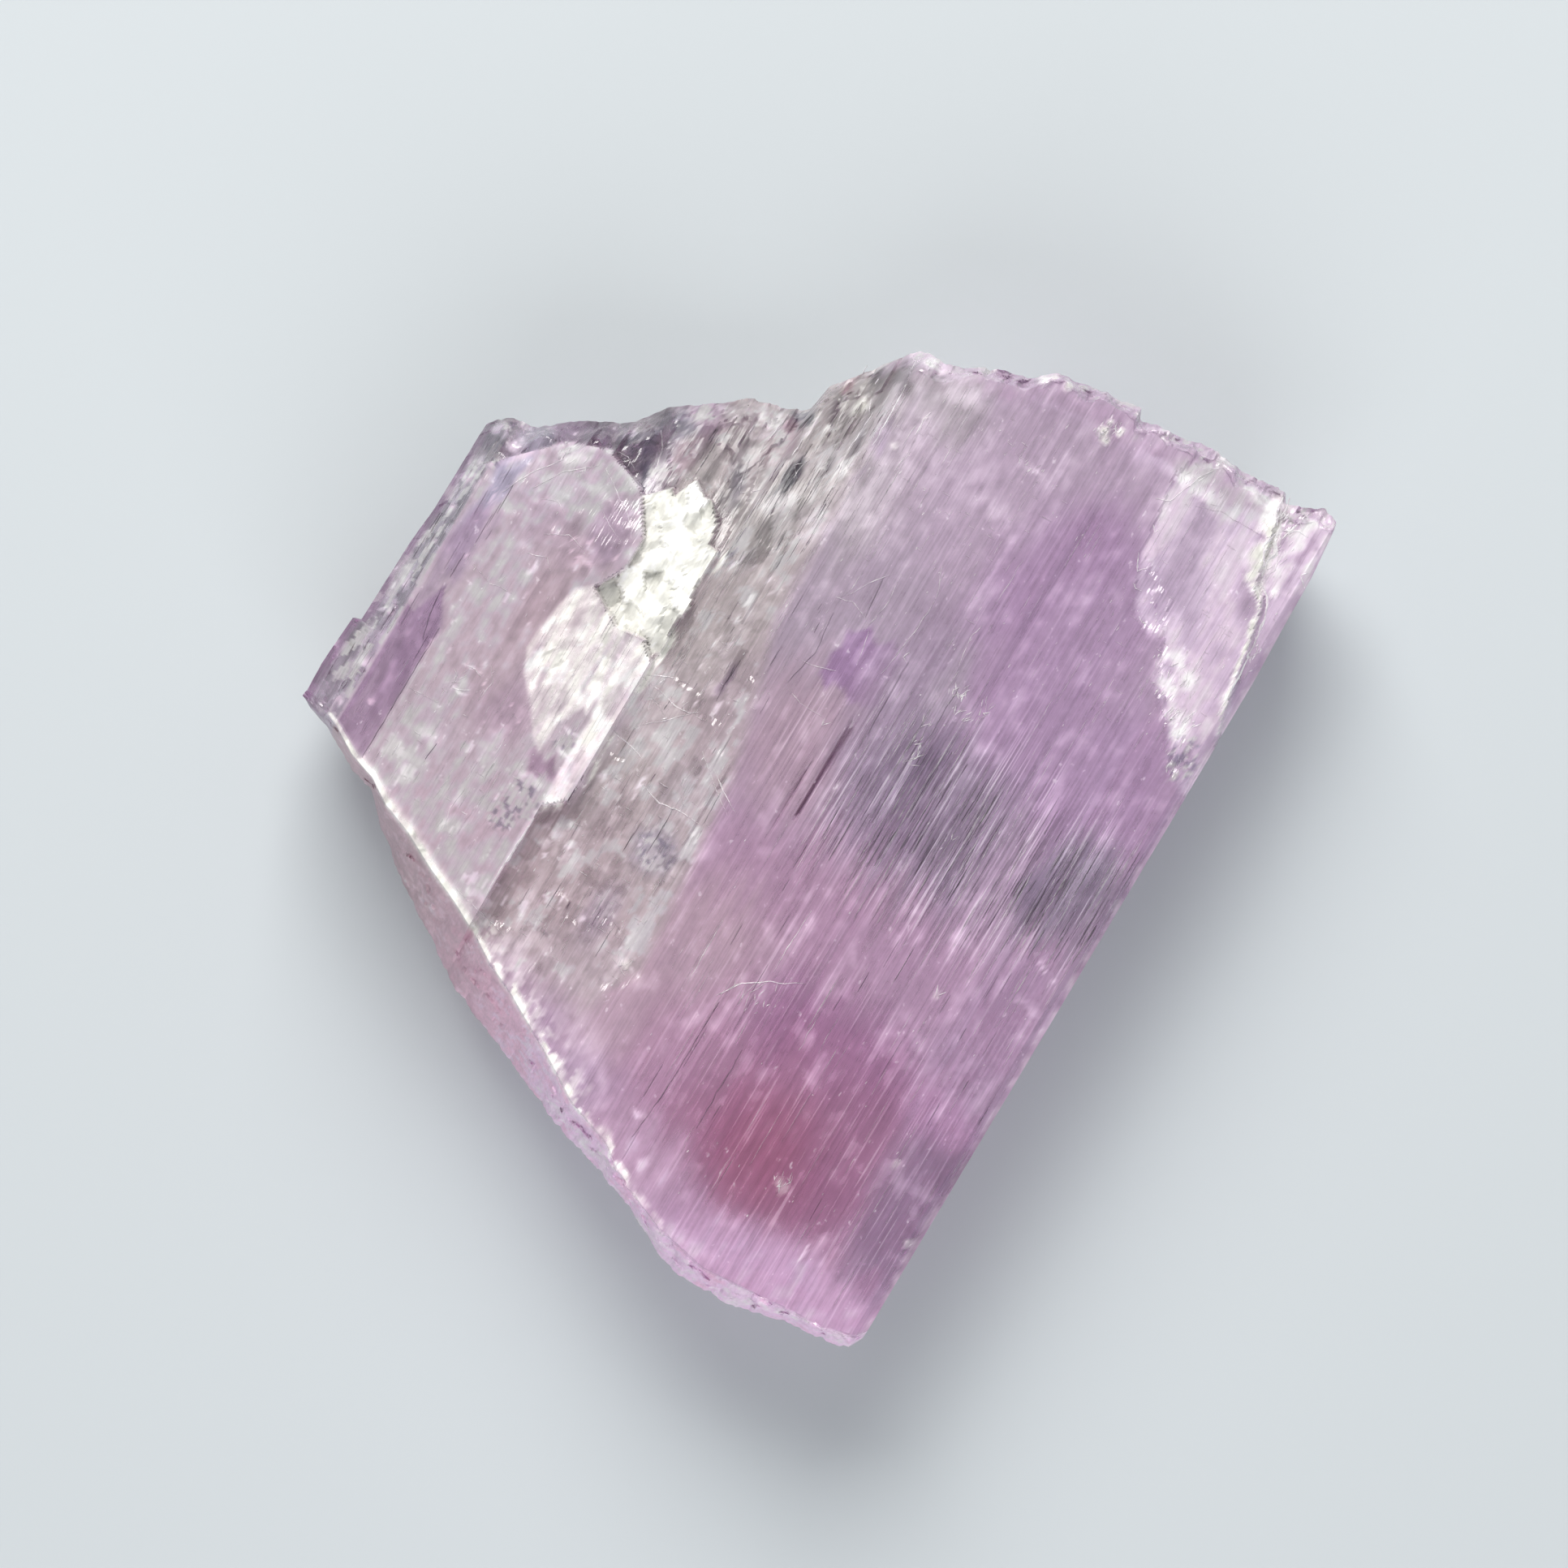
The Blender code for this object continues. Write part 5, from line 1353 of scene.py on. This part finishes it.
def milk_and_light_share(skin):
    """How milky the crystal is, with painted light: veils with painted glints, wisps, the layer's rim as a
    painted highlight, the fringe of its ledges with painted light, and the slope painted paler to the right.
    """
    x, y, mottle, streak, cloud = skin.x, skin.y, skin.mottle, skin.streak, skin.cloud
    milk_and_painted_light = np.zeros(len(x))
    for *ellipse, strength in VEILS_AND_GLINTS:
        milk_and_painted_light = np.maximum(milk_and_painted_light, ellipse_share(x + 0.35 * mottle, y + 0.5 * mottle, *ellipse) * strength)
    milk_and_painted_light = milk_and_painted_light * unit(0.72 + 0.9 * mottle + 0.35 * streak)
    wisps = unit(0.55 * cloud + 0.5 * mottle + 0.35 * streak - 0.12)
    milk_and_painted_light = np.maximum(milk_and_painted_light, wisps * (0.55 + 0.30 * skin.scoop - 0.15 * skin.layer))
    milk_and_painted_light = np.maximum(milk_and_painted_light, skin.scoop * np.clip(0.26 + 0.5 * cloud, 0.0, 0.45))
    # The slope painted paler to the right, partly as painted light over its shade
    milk_and_painted_light = np.maximum(milk_and_painted_light * (1.0 - skin.slope), skin.slope * (0.2 + 0.5 * skin.shade))
    milk_and_painted_light = np.maximum(milk_and_painted_light, skin.fan * 0.22 * unit(0.8 + mottle))
    # Painted highlight: a pale rim along the layer's upper outline, where it faces the light
    rim = unit(1.0 - outline_gap(x, y, LAYER) / 0.8) * skin.layer * fade(y - LAYER_RIM_Y, 2.0)
    milk_and_painted_light = np.maximum(milk_and_painted_light, rim * unit(0.75 + 0.8 * mottle))
    specks = fade(field(x, y, *WHITE_SPECK) + 0.6 * cloud - 0.62, 0.2)
    milk_and_painted_light = np.maximum(milk_and_painted_light, specks * (0.55 * skin.layer + 0.7 * skin.colourless))
    return np.maximum(milk_and_painted_light, ledge_fringe_and_light(skin) * unit(0.8 + 0.9 * streak))


def under_veil(skin):
    """The white veil on the right side of the layer, with a denser border to the left."""
    x, y = skin.x, skin.y
    veil = skin.under * np.clip(0.62 + 0.7 * field(x, y, *VEIL_HAIR) + 0.4 * skin.mottle, 0.12, 0.95)
    rim = unit(1.0 - outline_gap(x, y, UNDER_VEIL) / 0.45) * skin.under * (x < VEIL_RIM_X)
    return np.maximum(veil, rim * 0.95)


def ridge_crest(skin):
    """White crumbs along the ridge above the steep end."""
    x, gap, mottle = skin.x, skin.ridge_gap, skin.mottle
    left, bend, right = CREST_X
    wide = np.interp(x, *zip(*CREST_WIDE))
    crest = np.exp(-((gap - 0.15 - 0.5 * mottle * (x > bend)) / wide) ** 2) * skin.front
    crumbs = np.clip(0.5 + 1.4 * (skin.crumb - 0.4), 0.0, 0.95)
    crest *= np.where(x < bend, 0.8, crumbs) * (x < right) * (x > left)
    crumbly = unit(0.75 + 1.1 * mottle + 0.8 * (skin.small_crumb - 0.5))
    crest = unit(1.5 * crest) * np.where(x < bend - 0.5, unit(0.9 + 0.5 * mottle), crumbly)
    above = np.exp(-((gap - 1.2) / 1.1) ** 2) * skin.front * unit(1.4 * skin.small_crumb - 0.75)
    return np.maximum(crest, above * 0.8 * (x > CREST_CRUMBS_X[0]) * (x < CREST_CRUMBS_X[1]))


def corner_crack(skin):
    """The white crack that cuts off the right corner of the upper end."""
    x, y, mottle = skin.x, skin.y, skin.mottle
    gap = np.abs(x + 0.3 + 0.3 * mottle - np.array([along(CRACK, b) for b in y]))
    wide = np.interp(y, *zip(*CRACK_WIDE))
    crack = unit(1.6 - gap / wide) * unit(0.9 + 1.5 * mottle)
    return crack * (y > CRACK[0][0]) * skin.front


def crust_and_edge_glints(skin):
    """White crust on the chips and on the border of the upper end, and painted glints along the right edge."""
    x, y, mottle = skin.x, skin.y, skin.mottle
    chips = np.zeros(len(x))
    for cx, cy, radius, rise in CHIPS:
        reach = np.hypot(x - cx, y - cy) / radius
        share = unit(2.2 - 2.2 * reach + 1.2 * mottle + 0.8 * skin.shift)
        chips = np.maximum(chips, share * min(1.0, 0.30 + 2.5 * rise))
    rim = fade(0.34 + 0.35 * mottle - skin.end_gap, 0.2) * (x > END_CRUST_X) * (skin.broken > 0.45) * 0.5
    rim = rim * unit(1.6 - np.abs(skin.v - y))
    # Painted glints: specks and a pale line along the right edge
    edge_glints = fade(x - RIGHT_GLINT_X + 0.3 * mottle, 0.15) * skin.front * unit(0.5 + mottle) * 0.3
    return np.max([chips * skin.front * 0.9, rim, edge_glints], axis=0)


def paint_white(tone, skin):
    """Opaque white parts, and painted glints on the right edge. Returns how white each vertex is."""
    parts = [skin.flakes, under_veil(skin), ridge_crest(skin), corner_crack(skin), crust_and_edge_glints(skin)]
    white = np.max(parts, axis=0)
    brightness = 0.76 + 0.18 * skin.crumb + 0.12 * skin.small_crumb
    brightness += 0.08 * fade(0.08 - skin.crumb_edge, 0.06)
    blend(tone, white, np.array(FRESH_WHITE_AND_GLINT) * unit(brightness)[:, None])
    return white


def paint_squares(tone, skin):
    """Small bright and dark reflections of cleavage squares."""
    squares = square_field(skin.x, skin.y, *SMALL_SQUARE)
    patch = np.zeros(len(skin.x))
    for ellipse in SQUARE_PATCHES:
        patch = np.maximum(patch, ellipse_share(skin.x, skin.y, *ellipse, 0, 0.35))
    blend(tone, patch * skin.front * (squares > 0.72) * 0.75, SQUARE_BRIGHT)
    blend(tone, patch * skin.front * (squares < 0.24) * 0.6, SQUARE_DARK)


def growth_lines(skin):
    """How clearly the fine growth lines show."""
    lines = unit(1.0 - skin.layer - skin.flakes - skin.splintered) * skin.calm
    face = ellipse_share(skin.x, skin.y, *LINED_FACE)
    end = 0.35 * ellipse_share(skin.x, skin.y, *LINED_END)
    return lines * (0.16 + 0.3 * skin.sides + 0.84 * (1.0 - skin.sides) * np.maximum(face, end))


def paint(points, flat):
    """Colour and clarity at every vertex: tone as screen values, and masks from 0 to 1."""
    skin = Skin(points, flat)
    tone = np.tile(np.array(LILAC, dtype=float), (len(points), 1))
    for coat in (paint_body, paint_ends, paint_bevel, paint_splinters, paint_texture):
        coat(tone, skin)
    milk_and_painted_light = milk_and_light_share(skin)
    # Whitening by veils, and by painted glints and highlights
    blend(tone, milk_and_painted_light * 0.66 * (1.0 - skin.layer) * (1.0 - skin.slope), PALE_VEIL_AND_GLINT)
    blend(tone, milk_and_painted_light * 0.72 * skin.layer, PINK_VEIL_AND_HIGHLIGHT)
    white = paint_white(tone, skin)
    paint_squares(tone, skin)
    # Painted shade in the deepest groove
    slit = unit(np.array([groove(a, b) for a, b in zip(skin.x, skin.y)]) * 4.0 - 1.6)
    blend(tone, slit * (0.72 + 0.5 * skin.mottle), GROOVE_SHADE)
    white = white * (1.0 - slit)
    clear = np.max([ellipse_share(skin.wander_x, skin.wander_y, *CLEAR_EDGE), 1.3 * skin.glassy,
                    ellipse_share(skin.wander_x, skin.wander_y, *CLEAR_MIDDLE)], axis=0)
    frost = np.max([skin.slope, white, unit(1.2 - skin.end_gap), 1.2 * skin.splintered], axis=0)
    return np.clip(tone, 0.0, 255.0), {"milk_and_painted_light": milk_and_painted_light, "white": unit(white), "lines": growth_lines(skin),
                                      "clear": clear, "frost": frost}


def body_colour(tone, white):
    """Base colours that show as the given screen tones under the studio light."""
    screen = np.clip(tone + TONE_CONTRAST * (tone - TONE_PIVOT), 0.0, 255.0) / 255.0
    linear = np.where(screen <= 0.04045, screen / 12.92, ((screen + 0.055) / 1.055) ** 2.4)
    clear_base = TONE_GAIN * linear ** TONE_POWER
    return np.clip(clear_base + (linear - clear_base) * white[:, None], 0.0, BRIGHTEST_BASE)


# Materials

class Graph:
    """Short ways to add nodes to a material."""

    def __init__(self, material):
        self.tree = material.node_tree
        self.shader = self.tree.nodes["Principled BSDF"]

    def node(self, kind, **settings):
        made = self.tree.nodes.new(kind)
        for name, value in settings.items():
            setattr(made, name, value)
        return made

    def put(self, socket, value):
        """Links a socket to another one, or sets its value."""
        if isinstance(value, bpy.types.NodeSocket):
            self.tree.links.new(value, socket)
        else:
            socket.default_value = value

    def math(self, operation, a, b, clamp=False):
        made = self.node("ShaderNodeMath", operation=operation, use_clamp=clamp)
        self.put(made.inputs[0], a)
        self.put(made.inputs[1], b)
        return made.outputs[0]

    def mask(self, name):
        """One of the masks that are painted on the mesh."""
        return self.node("ShaderNodeAttribute", attribute_name=name).outputs["Fac"]

    def mixed(self, factor, a, b):
        """A colour between two colours."""
        made = self.node("ShaderNodeMix", data_type="RGBA")
        self.put(made.inputs[0], factor)
        self.put(made.inputs[6], a)
        self.put(made.inputs[7], b)
        return made.outputs[2]

    def span(self, value, from_low, from_high, to_low=0.0, to_high=1.0):
        """Spreads a range of values evenly over another range."""
        made = self.node("ShaderNodeMapRange", clamp=True)
        for socket, number in zip(list(made.inputs)[:5], (value, from_low, from_high, to_low, to_high)):
            self.put(socket, number)
        return made.outputs[0]

    def noise(self, scale, detail, roughness=0.55):
        """Noise with its own scale along each axis, in repeats per metre."""
        place = self.node("ShaderNodeTexCoord").outputs["Object"]
        mapping = self.node("ShaderNodeMapping")
        self.put(mapping.inputs["Vector"], place)
        self.put(mapping.inputs["Scale"], scale)
        made = self.node("ShaderNodeTexNoise")
        self.put(made.inputs["Vector"], mapping.outputs["Vector"])
        self.put(made.inputs["Scale"], 1.0)
        self.put(made.inputs["Detail"], detail)
        self.put(made.inputs["Roughness"], roughness)
        return made.outputs[0]


def new_graph(name):
    """A new material and the graph that fills it."""
    material = bpy.data.materials.new(name)
    material.use_nodes = True
    graph = Graph(material)
    graph.put(graph.shader.inputs["IOR"], IOR)
    return material, graph


def crystal_colour(g, hair, mottle):
    """Painted tone with finer growth lines and mottling, with painted light and shade along the lines and
    painted glints. Returns the colour and where it is bright.
    """
    tone = g.node("ShaderNodeAttribute", attribute_name="tone").outputs["Color"]
    lines = g.mask("lines")
    everywhere, where_clear = GROWTH_SHADE
    strength = g.math("ADD", g.math("MULTIPLY", lines, where_clear), everywhere)
    hair_shade = g.math("MULTIPLY", g.span(hair, 0.3, 0.7, -1.0, 1.0), strength)
    mottle_shade = g.span(mottle, 0.25, 0.75, -MOTTLE_SHADE, MOTTLE_SHADE)
    tinted = g.node("ShaderNodeVectorMath", operation="SCALE")
    g.put(tinted.inputs[0], tone)
    g.put(tinted.inputs["Scale"], g.math("ADD", g.math("ADD", hair_shade, mottle_shade), 1.0))
    hair_glints = g.math("MULTIPLY", g.span(hair, 0.63, 0.72), g.math("MULTIPLY", lines, HAIR_STRENGTH))
    specks = g.math("MULTIPLY", g.span(mottle, 0.68, 0.76), SPECK_GLINT_STRENGTH)
    bright = g.math("MAXIMUM", hair_glints, specks)
    return g.mixed(bright, tinted.outputs["Vector"], HAIR_PALE_AND_GLINT), bright


def crystal_clarity(g, bright):
    """Share of light let through: clear windows, milky veils with painted light, and opaque flakes."""
    clarity = g.math("SUBTRACT", CLARITY, g.math("MULTIPLY", g.mask("milk_and_painted_light"), MILK_LOSS))
    clarity = g.math("ADD", clarity, g.math("MULTIPLY", g.mask("clear"), CLEAR_GAIN))
    clarity = g.math("SUBTRACT", clarity, g.math("MULTIPLY", bright, BRIGHT_LOSS), clamp=True)
    opaque = g.math("MULTIPLY", g.mask("white"), WHITE_LOSS)
    return g.math("MULTIPLY", clarity, g.math("SUBTRACT", 1.0, opaque), clamp=True)


def crystal_material():
    """Kunzite: painted tones, glassy faces, frosted ends and a faint violet absorption."""
    material, g = new_graph("kunzite_looks")
    hair = g.noise(HAIR_NOISE, 1.0, 0.6)
    mottle = g.noise(MOTTLE_NOISE, 2.0, 0.65)
    colour, bright = crystal_colour(g, hair, mottle)
    g.put(g.shader.inputs["Base Color"], colour)
    g.put(g.shader.inputs["Transmission Weight"], crystal_clarity(g, bright))
    frost = g.math("MULTIPLY", g.mask("frost"), FROST_ROUGHNESS)
    g.put(g.shader.inputs["Roughness"], g.math("ADD", g.span(mottle, 0.3, 0.7, *GLASS_ROUGHNESS), frost))
    bump = g.node("ShaderNodeBump")
    g.put(bump.inputs["Strength"], BUMP_STRENGTH)
    g.put(bump.inputs["Distance"], BUMP_HEIGHT)
    g.put(bump.inputs["Height"], hair)
    g.put(g.shader.inputs["Normal"], bump.outputs["Normal"])
    absorption = g.node("ShaderNodeVolumeAbsorption")
    g.put(absorption.inputs["Color"], ABSORPTION)
    g.put(absorption.inputs["Density"], ABSORPTION_DENSITY)
    g.put(g.tree.nodes["Material Output"].inputs["Volume"], absorption.outputs["Volume"])
    return material


def crack_material():
    """Fresh broken edges: whitish, glossy and slightly clear."""
    material, g = new_graph("fresh_edge")
    grain = g.noise(EDGE_NOISE, 2.0)
    g.put(g.shader.inputs["Base Color"], g.mixed(g.span(grain, 0.3, 0.7), EDGE_GREY, EDGE_WHITE))
    g.put(g.shader.inputs["Roughness"], g.span(grain, 0.3, 0.7, *EDGE_ROUGHNESS))
    g.put(g.shader.inputs["Transmission Weight"], g.span(grain, 0.4, 0.75, EDGE_CLARITY, 0.0))
    return material


def slit_shade_material():
    """Painted shade of narrow slits that light doesn't come out of: dark plum glass."""
    material, g = new_graph("painted_slit_shade")
    grain = g.noise(EDGE_NOISE, 1.0)
    g.put(g.shader.inputs["Base Color"], g.mixed(g.span(grain, 0.35, 0.65), SLIT_SHADE, SLIT_PALE))
    g.put(g.shader.inputs["Roughness"], g.span(grain, 0.3, 0.7, *SLIT_ROUGHNESS))
    return material


# Thin strips on the face

def strip_spots(line):
    """Evenly spaced points along a broken line."""
    spots = []
    for (x0, y0), (x1, y1) in zip(line, line[1:]):
        pieces = max(2, round(math.hypot(x1 - x0, y1 - y0) / CRACK_STEP))
        spots += [(mix(x0, x1, k / pieces), mix(y0, y1, k / pieces)) for k in range(pieces)]
    return spots + [line[-1]]


def crack_strip(line, half, shift, wander):
    """Vertices and faces of one thin closed ridge along a line, with pointed ends."""
    spots = strip_spots(line)
    vertices, faces = [], []
    last = len(spots) - 1
    for k, (x, y) in enumerate(spots):
        (xa, ya), (xb, yb) = spots[max(0, k - 1)], spots[min(last, k + 1)]
        length = math.hypot(xb - xa, yb - ya) or 1.0
        nx, ny = -(yb - ya) / length, (xb - xa) / length
        x += wander * rough(x, y, 0.0, STRIP_BEND, 103.0) * nx
        y += wander * rough(x, y, 0.0, STRIP_BEND, 103.0) * ny
        share = mix(STRIP_START, 1.0 - STRIP_START, k / last)
        taper = mix(STRIP_TIP, 1.0, math.sin(math.pi * share))
        wide = half * taper * (1.0 + lumps(x, y, STRIP_SWELL, 107.0))
        z = face_height(x, y)
        for side in (wide, -wide):
            vertices.append((x + nx * side, y + ny * side, z - CRACK_DEPTH))
        vertices.append((x, y, z + CRACK_RISE + STRIP_CREST * wide))
    for k in range(last):
        a, b = 3 * k, 3 * k + 3
        faces += [(a, a + 1, b + 1, b), (a + 1, a + 2, b + 2, b + 1), (a + 2, a, b, b + 2)]
    faces += [(2, 1, 0), (3 * last, 3 * last + 1, 3 * last + 2)]
    return [tuple(np.array(v) * MM + shift) for v in vertices], faces


def on_the_face(x, y, margin):
    """Whether a point lies on the front face, at least a margin inside its outline."""
    across = along(LEFT_EDGE, y) + margin < x < along(RIGHT_EDGE, y) - margin
    return across and along(LOWER_RIDGE, x) + margin < y < along(UPPER_END, x) - margin


def upright_lines(draw, ranges, halves):
    """Straight thin lines along the crystal, spread over the given parts of the face."""
    lines = []
    for x0, x1, y0, y1, count, shortest, longest in ranges:
        for _ in range(count):
            x, y = draw.uniform(x0, x1), draw.uniform(y0, y1)
            reach = draw.uniform(shortest, longest) / 2.0
            half = draw.uniform(*halves)
            if on_the_face(x, y - reach, STRIP_MARGIN) and on_the_face(x, y + reach + 1.0, STRIP_MARGIN):
                ends = [(x, y - reach), (x + draw.uniform(-0.05, 0.05), y + reach)]
                lines.append((half, ends, STRAIGHT_WANDER))
    return lines


def block_lines(draw):
    """Short edges of cleavage blocks, half of them along the crystal and half across it."""
    lines = []
    for x0, x1, y0, y1, count, shortest, longest in BLOCK_EDGES:
        for number in range(count):
            x, y = draw.uniform(x0, x1), draw.uniform(y0, y1)
            length = draw.uniform(shortest, longest)
            end = (x, y + length) if number % 2 else (x + 0.6 * length, y)
            half = draw.uniform(*BLOCK_EDGE_HALF)
            if on_the_face(x, y, BLOCK_EDGE_MARGIN):
                lines.append((half, [(x, y), end], STRAIGHT_WANDER))
    return lines


def scuff_lines(draw):
    """Short scratches in small groups."""
    lines = []
    for cx, cy, rx, ry, count in SCUFFS:
        for _ in range(count):
            angle, reach = draw.uniform(0.0, 2.0 * math.pi), math.sqrt(draw.random())
            x, y = cx + rx * reach * math.cos(angle), cy + ry * reach * math.sin(angle)
            lean, length = draw.gauss(0.0, 0.5), draw.uniform(0.25, 0.9)
            end = (x + length * math.sin(lean), y + length * math.cos(lean))
            half = draw.uniform(*SCUFF_HALF)
            if on_the_face(x, y, STRIP_MARGIN) and on_the_face(*end, STRIP_MARGIN):
                lines.append((half, [(x, y), end], SCRATCH_WANDER))
    return lines


def add_object(name, mesh, material):
    """Puts a mesh in the scene with its material."""
    mesh.materials.append(material)
    made = bpy.data.objects.new(name, mesh)
    bpy.context.scene.collection.objects.link(made)
    return made


def add_strips(name, lines, material, shift):
    """One piece made of thin closed strips along the given lines."""
    vertices, faces = [], []
    for half, points, wander in lines:
        new_vertices, new_faces = crack_strip(points, half, shift, wander)
        base = len(vertices)
        vertices += new_vertices
        faces += [tuple(base + corner for corner in face) for face in new_faces]
    mesh = bpy.data.meshes.new(name)
    mesh.from_pydata(vertices, [], faces)
    strips = add_object(name, mesh, material)
    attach(strips, "root")


def add_cracks(shift):
    """Broken edges, scuffs and growth lines on the front face: pale ones, and dark ones of painted shade in
    slits.
    """
    draw = random.Random(SEED + 1)
    pale = [(CRACK_WIDENING * half, list(points), CRACK_WANDER) for half, *points in CRACK_LINES]
    pale += upright_lines(draw, HAIRLINES, HAIRLINE_HALF) + block_lines(draw) + scuff_lines(draw)
    pale += upright_lines(draw, SPECKS, SPECK_HALF)
    dark = [(half, list(points), SCRATCH_WANDER) for half, *points in DARK_LINES]
    dark += upright_lines(draw, DARK_HAIRLINES, DARK_HAIRLINE_HALF)
    add_strips("crystal_cracks", pale, crack_material(), shift)
    add_strips("crystal_slit_shade", dark, slit_shade_material(), shift)


def add_crystal():
    """The finely modelled crystal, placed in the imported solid's own box."""
    points, flat, faces = crystal_points()
    tone, masks = paint(points, flat)
    low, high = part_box("kunzite_crystal")
    middle = (points.min(axis=0) + points.max(axis=0)) / 2.0
    shift = np.array([(low[axis] + high[axis]) / 2.0 - middle[axis] * MM for axis in (0, 1)] + [0.0])
    mesh = bpy.data.meshes.new("crystal")
    mesh.from_pydata([tuple(p) for p in points * MM + shift], [], faces)
    base = np.column_stack([body_colour(tone, masks["white"]), np.ones(len(points))])
    painted = mesh.attributes.new("tone", "FLOAT_COLOR", "POINT")
    painted.data.foreach_set("color", base.astype(np.float32).ravel())
    for name, values in masks.items():
        mask = mesh.attributes.new(name, "FLOAT", "POINT")
        mask.data.foreach_set("value", values.astype(np.float32))
    mesh.shade_smooth()
    mesh.set_sharp_from_angle(angle=math.radians(SHARP_ANGLE))
    crystal = add_object("crystal", mesh, crystal_material())
    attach(crystal, "root")
    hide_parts("kunzite_crystal")
    return shift


# Camera and studio

def add_camera():
    """The camera straight above the face, turned as the photograph is."""
    data = bpy.data.cameras.new("camera")
    data.lens = LENS
    data.sensor_width = SENSOR
    data.clip_start = NEAREST
    camera = bpy.data.objects.new("camera", data)
    distance = FRAME_WIDTH * LENS / SENSOR
    camera.location = (*FRAME_MIDDLE, FACE_Z + distance)
    camera.rotation_euler = (0.0, 0.0, math.radians(LENGTH_TURN))
    bpy.context.scene.collection.objects.link(camera)
    bpy.context.scene.camera = camera


def add_area(name, place, size, power, colour):
    """A soft area light that faces the crystal."""
    data = bpy.data.lights.new(name, "AREA")
    data.shape = "SQUARE"
    data.size = size
    data.energy = power
    data.color = colour
    light = bpy.data.objects.new(name, data)
    light.location = place
    light.rotation_euler = (Vector(LIGHT_TARGET) - Vector(place)).to_track_quat("-Z", "Y").to_euler()
    bpy.context.scene.collection.objects.link(light)


def add_floor():
    """A plain pale floor, just below the crystal."""
    material = bpy.data.materials.new("floor")
    material.use_nodes = True
    shader = material.node_tree.nodes["Principled BSDF"]
    shader.inputs["Base Color"].default_value = FLOOR_COLOUR
    shader.inputs["Roughness"].default_value = FLOOR_ROUGHNESS
    mesh = bpy.data.meshes.new("floor")
    corners = [(-1, -1), (1, -1), (1, 1), (-1, 1)]
    mesh.from_pydata([(FLOOR_HALF * i, FLOOR_HALF * j, 0.0) for i, j in corners], [], [(0, 1, 2, 3)])
    floor = add_object("floor", mesh, material)
    floor.location.z = FLOOR_Z


def add_studio():
    """Soft light from two sides and from a pale sky."""
    add_floor()
    add_area("key_light", *KEY_LIGHT)
    add_area("fill_light", *FILL_LIGHT)
    world = bpy.data.worlds.new("studio")
    world.use_nodes = True
    background = world.node_tree.nodes["Background"]
    background.inputs["Color"].default_value = SKY
    background.inputs["Strength"].default_value = SKY_STRENGTH
    bpy.context.scene.world = world
    bpy.context.scene.view_settings.view_transform = "Standard"


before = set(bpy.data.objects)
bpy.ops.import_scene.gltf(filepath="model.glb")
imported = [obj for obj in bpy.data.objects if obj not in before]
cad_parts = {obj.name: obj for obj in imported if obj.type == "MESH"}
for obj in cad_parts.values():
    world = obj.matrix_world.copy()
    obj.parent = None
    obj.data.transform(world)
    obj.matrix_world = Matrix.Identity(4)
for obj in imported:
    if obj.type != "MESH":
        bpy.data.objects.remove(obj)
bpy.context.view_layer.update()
STEPS = make_steps()
add_camera()
add_cracks(add_crystal())
add_studio()
